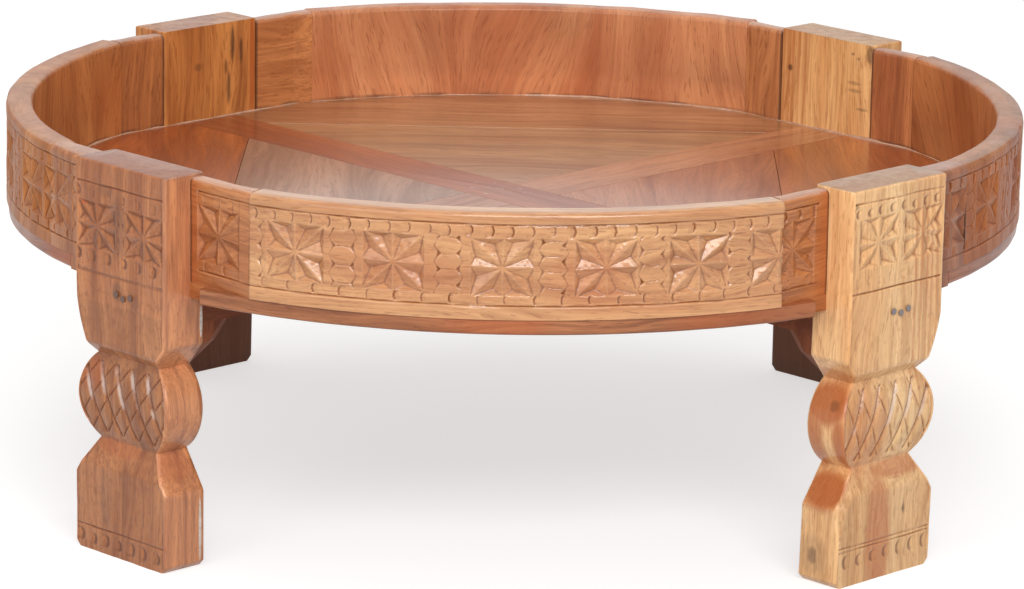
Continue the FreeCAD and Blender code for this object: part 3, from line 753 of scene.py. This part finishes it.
def leg_reach(level):
    """How far out the leg's face stands at each level."""
    recess = LEG_OUTER - NECK_RECESS
    flat = np.interp(level, [FOOT_HEIGHT + NECK_RECESS, LOW_NECK_LEVEL, NECK_LEVEL, NECK_LEVEL + NECK_RECESS],
                     [LEG_OUTER, recess, recess, LEG_OUTER])
    ball = arc_through((recess, LOW_NECK_LEVEL), (LEG_OUTER - BALL_RECESS, BALL_LEVEL), (recess, NECK_LEVEL))
    reach = np.where((level > LOW_NECK_LEVEL) & (level < NECK_LEVEL), ball(level), flat)
    return reach - end_inset(LEG_TOP - level, LEG_TOP_ROUND)


def leg_ring():
    """Round the leg's section: shares of width and depth, of the corner's radius in each, and the side."""
    bend = np.linspace(0, pi / 2, 4, endpoint=False)
    face = np.linspace(0, 1, 120, endpoint=False)
    side = np.linspace(0, 1, 12, endpoint=False)
    back = np.linspace(0, 1, 64, endpoint=False)
    one = np.ones_like
    stretches = [
        (face, 1 - 2 * face, one(face), 0 * face, FACE),
        (one(bend), np.sin(bend) - 1, one(bend), np.cos(bend) - 1, RIGHT),
        (one(side), 0 * side, 1 - side, 2 * side - 1, RIGHT),
        (one(bend), np.cos(bend) - 1, 0 * bend, 1 - np.sin(bend), BACK),
        (1 - back, 2 * back - 1, 0 * back, 0 * back, BACK),
        (0 * bend, 1 - np.sin(bend), 0 * bend, 1 - np.cos(bend), BACK),
        (0 * side, 0 * side, side, 1 - 2 * side, LEFT),
        (0 * bend, 1 - np.cos(bend), one(bend), np.sin(bend) - 1, LEFT),
    ]
    shares = [np.concatenate(column) for column in list(zip(*stretches))[:4]]
    sides = np.concatenate([np.full(len(stretch[0]), stretch[4]) for stretch in stretches])
    return shares, sides


def lattice_cut(x, y, families):
    """Crossed slanting grooves between rounded lozenges, over the ball of a leg."""
    depth = np.zeros(np.broadcast(x, y).shape)
    uneven = 1 + 0.3 * soft_noise(x, y, 12 * MM, 77)
    for lean, pitch, half_width, most in families:
        place = (x - lean * (y - BALL_LEVEL)) / pitch
        distance = ((place + 0.5) % 1 - 0.5) * pitch / (1 + lean ** 2) ** 0.5
        across = line_cut(distance, half_width * uneven, 1)
        depth = np.maximum(depth, most * (1 - np.sqrt(1 - across ** 2)))
    return depth * fade(y - BALL_LEVEL, 24 * MM, 3 * MM)


def painted_groove_glints(x, y, family, shift):
    """Painted glints in the pale tint along one slope of the grooves, over the upper half of a ball."""
    lean, pitch = family[:2]
    place = (x - shift - lean * (y - BALL_LEVEL)) / pitch
    distance = ((place + 0.5) % 1 - 0.5) * pitch
    broken = np.clip(0.4 + 1.6 * soft_noise(x, y * 0.5, 6 * MM, 78), 0, 1)
    return broken * fade(distance, 0.6 * MM, 1 * MM) * fade(y - BALL_LEVEL - 9 * MM, 10 * MM, 5 * MM)


# Star level and height, star offsets, level, number and side of the row of crescents, upper and lower groove,
# foot lines, and level of the foot's crescents
LEG_STYLES = {
    "front_left": (235.6, 34, (-24.9, 25.5), 213.5, 6, 1, 265, 203, (17,), 9),
    "front_right": (243.0, 36, (-20.7, 25.2), 265.0, 8, -1, 272, 208.5, (25, 28), 17.5),
    "rear_left": (240.0, 36, (-23, 24), 264.0, 7, 1, 271, 207, (22,), 13),
    "rear_right": (238.0, 35, (-24, 23), 214.0, 6, -1, 271, 207, (22,), 13),
}

# The two families of grooves on each ball: lean, pitch, half width and depth
WIDE_LATTICE = ((-0.42, 16.5 * MM, 6.0 * MM, 2.8 * MM), (0.8, 16.5 * MM, 2.6 * MM, 1.7 * MM))
EVEN_LATTICE = ((-0.45, 17 * MM, 3.2 * MM, 1.9 * MM), (0.45, 17 * MM, 6.0 * MM, 2.8 * MM))
LATTICES = {"front_left": WIDE_LATTICE, "front_right": EVEN_LATTICE,
            "rear_left": EVEN_LATTICE, "rear_right": WIDE_LATTICE}

# The grooves on two balls with painted glints: their family, and how far beside the groove the glints lie
GLINT_GROOVES = {"front_left": (WIDE_LATTICE[0], -1.6 * MM), "front_right": (EVEN_LATTICE[1], 1.6 * MM)}

# Kind of mark, side of the leg, and spots on that side: place, size and strength, in millimetres
LEG_MARKS = {
    "front_left": [
        (BLUSH, FACE, [(-40, 250, 4, 2.5, 0.8), (-34, 128, 16, 16, 0.4), (-8, 78, 30, 8, 0.4)]),
        (BLUSH, RIGHT, [(362, 72, 20, 12, 0.4), (360, 200, 18, 14, 0.15)]),
        (PALE, RIGHT, [(360, 140, 400, 600, 0.07)]),
        (STAIN_AND_SHADE, FACE, [(-3, 193, 7, 9, 0.35), (17, 188, 6, 7, 0.3), (-14, 262, 11, 6, 0.25),
                       (-2, 238, 14, 28, 0.3), (-20, 226, 12, 9, 0.2), (30, 226, 14, 10, 0.18),
                       (-16, 40, 8, 30, 0.18)]),
    ],
    "front_right": [
        (BLUSH, LEFT, [(360, 128, 28, 20, 0.85), (349, 106, 13, 38, 0.75), (374, 100, 9, 30, 0.75),
                       (360, 147, 24, 8, 0.5), (360, 66, 28, 17, 0.85)]),
        (BLUSH, FACE, [(12, 76, 40, 9, 0.55), (-28, 100, 10, 16, 0.4), (-24, 106, 30, 44, 0.35),
                       (-11, 28, 16, 66, 0.6)]),
        (BLUSH, FACE, [(offset, 205, 1.8, 110, 0.42) for offset in (19, 25, 31, 36, 42)]),
        (STAIN_AND_SHADE, LEFT, [(367, 128, 5, 5, 0.4), (357, 20, 6, 9, 0.6), (357, 20, 15, 20, 0.22)]),
        (STAIN_AND_SHADE, FACE, [(15, 46, 1.3, 5, 0.8), (-45, 271, 3, 3, 0.5)]),
    ],
    "rear_left": [
        (STAIN_AND_SHADE, BACK, [(-23, 264, 2.4, 19, 0.8), (-16, 246, 2.2, 8, 0.6), (-19, 229, 2.4, 18, 0.7),
                       (-32, 257, 2.4, 13, 0.65), (13, 249, 5, 4, 0.4)]),
        # The broad reddish spot low on the back reddens the painted shade under the tray
        (BLUSH, BACK, [(-44, 244, 4, 60, 0.8), (0, 80, 200, 110, 0.3)]),
    ],
    "rear_right": [
        (STAIN_AND_SHADE, BACK, [(38, 251, 3, 3.4, 0.8), (-28, 272, 1.6, 1.6, 0.6), (-34, 269, 1.6, 1.6, 0.6),
                       (-30, 249, 9, 2, 0.35), (-31, 243, 9, 2, 0.35), (-39, 229, 8, 1.6, 0.4),
                       (-46, 274, 5, 9, 0.6)]),
        # The broad reddish spot low on the back reddens the painted shade under the tray
        (BLUSH, BACK, [(0, 80, 200, 110, 0.34)]),
        (BLUSH, BACK, [(offset, 244, 2, 80, 0.4) for offset in (45, 40, 35, 29, 23)]),
    ],
}


def leg_carving(x, y, corner, seed):
    """A leg's carved face and the painted shade along the edges of its small cuts: stars between lines, the
    ball's lattice, cuts on the foot.
    """
    random = np.random.default_rng(seed)
    star_level, star_height, stars, row_level, count, side = LEG_STYLES[corner][:6]
    upper, lower, scores, foot_level = LEG_STYLES[corner][6:]
    cuts = [scribed_line(x, y - upper * MM, LINE_DEPTH, seed + 6),
            scribed_line(x, y - lower * MM, LINE_DEPTH * 1.3, seed + 7),
            lattice_cut(x, y, LATTICES[corner])]
    cuts += [scribed_line(x, y - score * MM, LINE_DEPTH * 0.8, seed + score) for score in scores]
    for star in stars:
        cuts.append(star_cut(x - star * MM, y - star_level * MM, LEG_STAR_WIDTH, star_height * MM, random))
    cuts.append(0.7 * chain_cut((x - sum(stars) / 2 * MM) * 2.6, y - star_level * MM, 18 * MM, random))
    row = np.linspace(*LEG_ROW, count) * MM
    foot = np.linspace(*FOOT_ROW, FOOT_CUTS) * MM
    faint_level = lower + 8 if row_level > star_level else upper - 7
    row_cuts, row_shades = crescent_row(x, y - row_level * MM, row, 34 * MM / count, side, 1.3 * MM, random)
    foot_cuts, foot_shades = crescent_row(x, y - foot_level * MM, foot, 6.4 * MM, side, 1.3 * MM, random)
    faint_cuts, _ = crescent_row(x, y - faint_level * MM, row[:6], 5 * MM, side, 0.7 * MM, random)
    cuts += [row_cuts, foot_cuts, faint_cuts]
    return np.maximum.reduce(cuts) + scraped(x, y, seed + 8), np.maximum(row_shades, foot_shades)


def pared_corner(level, from_left):
    """The long facet down the left corner of a foot: how deep it cuts at a distance from that corner."""
    width = np.interp(level, [22 * MM, 60 * MM, 76 * MM], [0, 10 * MM, 3 * MM])
    return np.clip(width - from_left, 0, None) * 0.6 * (level > 22 * MM) * (level < 76 * MM)


def add_mark(marks, kind, strength):
    """Brings one kind of mark up to a strength, where it is weaker."""
    marks[..., kind] = np.maximum(marks[..., kind], strength)


def leg_marks(corner, sides, out, offset, level):
    """Stains, reddish wood and pale filler on one leg."""
    marks = np.zeros(out.shape + (3,))
    for kind, side, spots in LEG_MARKS[corner]:
        across = offset if side in (FACE, BACK) else out
        for spot in spots:
            add_mark(marks, kind, blot(across, level, spot) * (sides == side))
    return marks


# How much lighter or darker sides of a leg are, between two levels
LEG_TONES = {
    "front_left": [(RIGHT, 0, RIM, 0.26), (FACE, 0, BLOCK_LEVEL, -0.11), (FACE, BLOCK_LEVEL, RIM, 0.03),
                   (FACE, LOW_NECK_LEVEL, NECK_LEVEL, -0.14)],
    "front_right": [(LEFT, FOOT_HEIGHT, RIM, 0.12), (FACE, 0, NECK_LEVEL, -0.1)],
    # Below the tray, the backs of the rear legs are darkened: painted shade under the tray
    "rear_left": [(BACK, 0, TRAY_BOTTOM, -0.8)],
    "rear_right": [(BACK, 0, TRAY_BOTTOM, -0.85)],
}

# How much darker each leg's top is, and how reddish and pale: the darker tone with the pale tint is a painted
# grey sheen on the top
LEG_TOP_TINTS_AND_SHEENS = {
    "front_left": (-0.52, 0.3, 0.05),
    "front_right": (-0.56, 0.2, 0.05),
    "rear_left": (-0.2, 0, 0.16),
    "rear_right": (-0.34, 0, 0.14),
}


def leg_tone(corner, sides, level):
    tone = np.zeros(np.broadcast(sides, level).shape)
    for side, low, high, lift in LEG_TONES[corner]:
        tone = tone + lift * (sides == side) * (level > low) * (level <= high)
    # The top takes the darker tone of its painted sheen
    return np.where(level > LEG_TOP - TOP_EDGE, LEG_TOP_TINTS_AND_SHEENS[corner][0], tone)


def leg_lean(level, corner):
    """How far a leg's middle is off to one side at each level."""
    return LEANS[corner] * np.clip(1 - level / BLOCK_LEVEL, 0, 1)


def make_leg(corner, material, seed):
    level = np.append(spans(*LEG_ROWS), LEG_TOP)[:, None]
    (width_share, width_corner, depth_share, depth_corner), sides = leg_ring()
    lean = leg_lean(level, corner)
    worn_top = end_inset(LEG_TOP - level, LEG_TOP_WEAR)
    left = leg_half_width(level, LEFT, corner) - worn_top
    right = leg_half_width(level, RIGHT, corner) - worn_top
    offset = lean - left + width_share * (left + right) + width_corner * LEG_CORNER
    out = LEG_INNER + depth_share * (leg_reach(level) - LEG_INNER) + depth_corner * LEG_CORNER
    marks = leg_marks(corner, sides, out, offset, level)
    # The top's reddish wood, and the pale tint of its painted sheen
    for kind, strength in zip((BLUSH, PALE), LEG_TOP_TINTS_AND_SHEENS[corner][1:]):
        add_mark(marks, kind, strength * (level > LEG_TOP - TOP_EDGE))
    depth, shade = leg_carving(offset - lean, level, corner, seed)
    depth = depth * (sides == FACE)
    shade = shade * (sides == FACE)
    edge_shade, dark_depth = LEFT_LEG_CUTS if corner.endswith("left") else RIGHT_LEG_CUTS
    # Painted shade along the edges of the small cuts, in the dark stain colour
    add_mark(marks, STAIN_AND_SHADE, edge_shade * shade)
    # Painted glints along the ball's grooves, in the pale tint
    if corner in GLINT_GROOVES:
        lacquer = painted_groove_glints(offset - lean, level, *GLINT_GROOVES[corner]) * (sides == FACE)
        add_mark(marks, PALE, 0.5 * lacquer)
    worn = 0.25 * MM * (1 + soft_noise(offset, level, 14 * MM, seed + 4))
    out = out - depth - worn * (depth_share > 0.5)
    if corner == "front_right":
        out = np.minimum(out, leg_reach(level) - pared_corner(level, offset - lean + left))
    corners, faces = tube(joined(out, offset, level))
    add_piece(f"carved_leg_{corner}", turned(corners, LEGS[corner]), faces, material,
              "leg_wood_pale" if corner.endswith("right") else "leg_wood_dark", [f"leg_{corner}"],
              grain=corners[:, [2, 1, 0]], cavity=np.maximum(crevice(depth, 3, dark_depth), shade),
              marks=marks, tone=leg_tone(corner, sides, level))


def make_filler(name, corner, reach, low, high, material):
    """A narrow lens of pale filler in a crack on the right side of a leg."""
    part = np.linspace(0, 1, 24)[:, None]
    level = low + (high - low) * part
    half = (0.1 + 1.1 * np.sin(pi * part) ** 0.7) * MM
    proud = np.array([0.15, 0.15, -0.8, -0.8]) * MM
    offset = leg_lean(level, corner) + leg_half_width(level, RIGHT, corner) + proud
    out = reach + half * np.array([-1, 1, 1, -1])
    corners, faces = tube(joined(out, offset, level))
    add_piece(name, turned(corners, LEGS[corner]), faces, material, "leg_wood_pale")


def make_haunch(corner, material):
    """The slanting block behind a leg, as wide as the leg there, with its slanted corners pared off."""
    level = np.linspace(HAUNCH_BOTTOM, BATTEN_BOTTOM, 24)[:, None]
    length = np.maximum(HAUNCH_REACH * (level - HAUNCH_BOTTOM) / (BATTEN_BOTTOM - HAUNCH_BOTTOM), 1 * MM)
    left = np.minimum(leg_half_width(level, LEFT, corner) - 1.2 * MM, BATTEN_HALF)
    right = np.minimum(leg_half_width(level, RIGHT, corner) - 1.2 * MM, BATTEN_HALF)
    pared = np.minimum(0.6 * length, 8 * MM)
    out = LEG_INNER - length + np.concatenate([length, pared, 0 * pared, 0 * pared, pared, length], axis=1)
    offset = np.concatenate([-left, -left, 0.4 * pared - left, right - 0.4 * pared, right, right], axis=1)
    corners, faces = tube(joined(out, offset, level))
    add_piece(f"pared_haunch_{corner}", turned(corners, LEGS[corner]), faces, material, "batten_wood",
              [f"haunch_{corner}"], sharp=20, grain=corners[:, [2, 1, 0]])


# Stage

# Each light: its place, width and height in metres, and its power in watts. All point at one height
LIGHTS = {
    "key": ((0.5, -2.9, 2.1), 2.4, 0.9, 66),
    "fill": ((-1.6, -2.4, 1.2), 1.4, 1.4, 14),
    "top": ((-0.3, 0.4, 2.6), 2.0, 2.0, 14),
}
LIT_HEIGHT = 0.15
SKY_LIGHT = 0.5

# The stage's floor, a little below the feet
STAGE_HALF = 12
STAGE_DROP = 0.2 * MM
STAGE_GREY = (0.55, 0.55, 0.55, 1)
STAGE_GLOW = 0.62


def seen_directly(tree):
    """1 for what is seen straight on, in a reflection or through glass, and 0 for light that bounces."""
    rays = add_node(tree, "LightPath", {}).outputs
    seen = maths(tree, "MAXIMUM", rays["Is Camera Ray"], rays["Is Glossy Ray"])
    return maths(tree, "MAXIMUM", seen, rays["Is Transmission Ray"])


def make_floor():
    mesh = bpy.data.meshes.new("studio_floor")
    corners = [(x * STAGE_HALF, y * STAGE_HALF, 0) for x, y in ((-1, -1), (1, -1), (1, 1), (-1, 1))]
    mesh.from_pydata(corners, [], [(0, 1, 2, 3)])
    material, tree, shader = new_material("studio_floor")
    tree.nodes.remove(shader)
    pale = add_node(tree, "BsdfDiffuse", {"Color": STAGE_GREY})
    glow = add_node(tree, "Emission", {"Strength": maths(tree, "MULTIPLY", seen_directly(tree), STAGE_GLOW)})
    both = add_node(tree, "AddShader", {0: pale.outputs[0], 1: glow.outputs[0]})
    set_inputs(tree, tree.nodes["Material Output"], {"Surface": both.outputs[0]})
    mesh.materials.append(material)
    floor = add_object("studio_floor", mesh)
    floor.location.z = -STAGE_DROP


def make_world():
    world = bpy.data.worlds.new("studio")
    world.use_nodes = True
    bpy.context.scene.world = world
    tree = world.node_tree
    strength = ranged(tree, seen_directly(tree), 0, 1, SKY_LIGHT, 1)
    set_inputs(tree, tree.nodes["Background"], {"Color": (1, 1, 1, 1), "Strength": strength})


def make_light(name, place, width, height, power):
    light = bpy.data.lights.new(name, "AREA")
    light.shape = "RECTANGLE"
    light.size = width
    light.size_y = height
    light.energy = power
    lamp = add_object(name, light)
    lamp.location = place
    lamp.rotation_euler = (Vector((0, 0, LIT_HEIGHT)) - Vector(place)).to_track_quat("-Z", "Y").to_euler()


def make_camera():
    """The photograph's view, from a camera fitted to the rim, the floor and the legs."""
    turn, tilt, roll = radians(0.479), radians(14.271), radians(1.015)
    distance = 3.60878
    target = Vector((0.00044, 0, 0.12873))
    photo_width, focal_pixels = 1024, 4825.83
    back = Vector((sin(turn) * cos(tilt), -cos(turn) * cos(tilt), sin(tilt)))
    level_right = Vector((cos(turn), sin(turn), 0))
    level_up = back.cross(level_right)
    right = level_right * cos(roll) + level_up * sin(roll)
    up = level_up * cos(roll) - level_right * sin(roll)
    data = bpy.data.cameras.new("photo_camera")
    data.sensor_fit = "HORIZONTAL"
    data.sensor_width = 36
    data.lens = focal_pixels / photo_width * data.sensor_width
    camera = add_object("photo_camera", data)
    axes = Matrix((right, up, back)).transposed().to_4x4()
    camera.matrix_world = Matrix.Translation(target + back * distance) @ axes
    bpy.context.scene.camera = camera


def dress(name, material, worn=0.7 * MM):
    """Gives a CAD node its material and slightly worn edges."""
    node = nodes[name]
    if not node.material_slots:
        node.data.materials.append(material)
    for slot in node.material_slots:
        slot.material = material
    weld = node.modifiers.new("joined_faces", "WELD")
    weld.merge_threshold = 0.01 * MM
    bevel = node.modifiers.new("worn_edges", "BEVEL")
    bevel.width = worn
    bevel.segments = 2
    bevel.limit_method = "ANGLE"
    bevel.angle_limit = radians(40)


def scratch(material, place, reach, seed):
    """White scratches in a board, near a place on it."""
    tree = material.node_tree
    shader = tree.nodes["Principled BSDF"]
    under = shader.inputs["Base Color"].links[0].from_socket
    spot = add_node(tree, "TexCoord", {}).outputs["Object"]
    away = add_node(tree, "VectorMath", {0: spot, 1: place}, operation="DISTANCE")
    near = ranged(tree, away.outputs["Value"], reach * 0.5, reach, 1, 0)
    marks = noise(tree, spot, (110, 170, 200), seed, detail=4, roughness=0.7)
    strength = maths(tree, "MULTIPLY", ranged(tree, marks, 0.62, 0.67, 0, 0.55), near)
    set_inputs(tree, shader, {"Base Color": mixed(tree, strength, under, paint(*SCRATCH_WHITE))})


# Table

# Each wood and each carved piece has its own seed

# Walls: pale and deep colours, strength of streaks and fibres, coat and gloss
WALL_COLOURS = {
    "front": ((226, 171, 116), (199, 132, 81), 0.6, 0.5, 0.8, 0.36),
    "right": ((200, 128, 76), (158, 91, 50), 0.4, 0.3, 0, 0.2),
    "rear": ((222, 155, 106), (178, 104, 63), 0.3, 0.3, 0.2, 0.36),
    "left": ((206, 134, 76), (160, 91, 48), 0.4, 0.3, 0, 0.2),
}
for index, (wall, (pale, deep, streak, fibre, coat, specular)) in enumerate(WALL_COLOURS.items()):
    board = wood(f"{wall}_wall_wood", pale, deep, piece_grain, 10 + index, streak, fibre,
                 coat=coat, specular=specular)
    make_carved_board(wall, board, 100 + index * 10)

# End blocks: pale and deep colours
END_COLOURS = {
    "front_left": ((220, 150, 95), (176, 104, 57)),
    "front_right": ((208, 134, 79), (162, 91, 48)),
    "right_front": ((180, 110, 64), (138, 75, 41)),
    "right_rear": ((210, 134, 80), (165, 94, 53)),
    "rear_right": ((214, 142, 89), (167, 97, 54)),
    "rear_left": ((224, 148, 89), (177, 104, 56)),
    "left_rear": ((206, 130, 71), (158, 89, 44)),
    "left_front": ((206, 134, 76), (160, 91, 48)),
}
for index, (end, (pale, deep)) in enumerate(END_COLOURS.items()):
    make_end_block(end, wood(f"{end}_end_wood", pale, deep, piece_grain, 30 + index), 200 + index * 10)

# Legs: pale and deep colours, coat, and strength of streaks
LEG_COLOURS = {
    "rear_right": ((250, 198, 134), (220, 150, 88), 0.1, 0.6),
    "rear_left": ((234, 158, 87), (178, 103, 47), 0.1, 0.85),
    "front_left": ((219, 147, 93), (168, 99, 56), 0.4, 0.85),
    "front_right": ((254, 211, 155), (238, 178, 118), 0.4, 0.6),
}
for index, (corner, (pale, deep, coat, streak)) in enumerate(LEG_COLOURS.items()):
    leg = wood(f"{corner}_leg_wood", pale, deep, piece_grain, 50 + index, streak, coat=coat, specular=0.3)
    make_leg(corner, leg, 300 + index * 10)

# Rails: pale and deep colours
RAIL_COLOURS = {
    "front": ((196, 127, 81), (138, 78, 45)),
    "right": ((182, 110, 70), (136, 76, 46)),
    "rear": ((190, 116, 74), (146, 82, 50)),
    "left": ((184, 112, 72), (140, 78, 48)),
}
for index, (wall, (pale, deep)) in enumerate(RAIL_COLOURS.items()):
    rail = wood(f"{wall}_rail_wood", pale, deep, piece_grain, 70 + index, streak=0.9)
    make_lower_rail(wall, rail, 400 + index * 10)

# Floor: pale and deep colours, and the direction of the grain in degrees
FLOOR_COLOURS = {
    "floor_panel_front": ((196, 138, 104), (158, 96, 62), 0),
    "floor_panel_right": ((194, 122, 77), (152, 80, 43), 90),
    "floor_panel_rear": ((194, 145, 101), (155, 104, 66), 0),
    "floor_panel_left": ((184, 138, 108), (146, 104, 80), 90),
    "floor_segment_front": ((180, 134, 108), (146, 96, 70), 0),
    "floor_segment_right": ((196, 112, 56), (152, 76, 32), 90),
    "floor_segment_rear": ((194, 137, 92), (152, 95, 59), 0),
    "floor_segment_left": ((194, 101, 46), (146, 69, 27), 90),
    "cross_plank_long": ((181, 101, 57), (145, 71, 37), 135),
    "cross_plank_half_front_left": ((202, 146, 112), (166, 104, 72), 45),
    "cross_plank_half_rear_right": ((206, 142, 100), (168, 102, 66), 45),
}

# Boards with white scratches, and where these are
SCRATCH_REACH = 45 * MM
SCRATCHES = {
    "floor_segment_left": (-0.216, 0.125, FLOOR_TOP),
    "cross_plank_long": (-0.006, 0.014, FLOOR_TOP),
}
for index, (name, (pale, deep, direction)) in enumerate(FLOOR_COLOURS.items()):
    board = wood(f"{name}_wood", pale, deep, straight_grain(direction), 80 + index,
                 roughness=0.34, coat=0.6, marked=False)
    if name in SCRATCHES:
        scratch(board, SCRATCHES[name], SCRATCH_REACH, index)
    dress(name, board, 0.15 * MM)

batten = wood("batten_wood", (150, 80, 43), (110, 52, 26), straight_grain(45), 95,
              coat=0, roughness=0.6, marked=False)
for name in ("batten_under_long_plank", "batten_under_half_planks"):
    dress(name, batten)
haunch = wood("haunch_wood", (160, 90, 50), (118, 59, 31), piece_grain, 94,
              coat=0, roughness=0.6, marked=False)
for corner in LEGS:
    make_haunch(corner, haunch)

inner = wood("joinery_wood", (190, 130, 84), (150, 92, 56), straight_grain(0), 97, coat=0, marked=False)
for name in ["splice_keys"] + [f"rail_dowels_{wall}" for wall in WALLS]:
    dress(name, inner)

lacquer = wood("bead_lacquer", (212, 168, 136), (182, 128, 92), straight_grain(0), 98,
               roughness=0.2, coat=1, marked=False)
make_bead(lacquer)
filler = wood("crack_filler", (236, 230, 224), (214, 206, 198), straight_grain(0), 96,
              streak=0.2, marked=False)
make_filler("crack_filler_upper", "front_left", 347 * MM, 165 * MM, 188 * MM, filler)
make_filler("crack_filler_lower", "front_left", 348.5 * MM, 4 * MM, 50 * MM, filler)

bare_iron = rusty_iron("nail_iron", (128, 126, 132), (150, 130, 120))
dark_iron = rusty_iron("stained_nail_iron", (106, 88, 84), (128, 94, 78))
for corner in LEGS:
    dress(f"nails_leg_{corner}", dark_iron if corner == "front_left" else bare_iron)

make_floor()
make_world()
for name, light in LIGHTS.items():
    make_light(name, *light)
make_camera()
bpy.context.scene.view_settings.view_transform = "Standard"
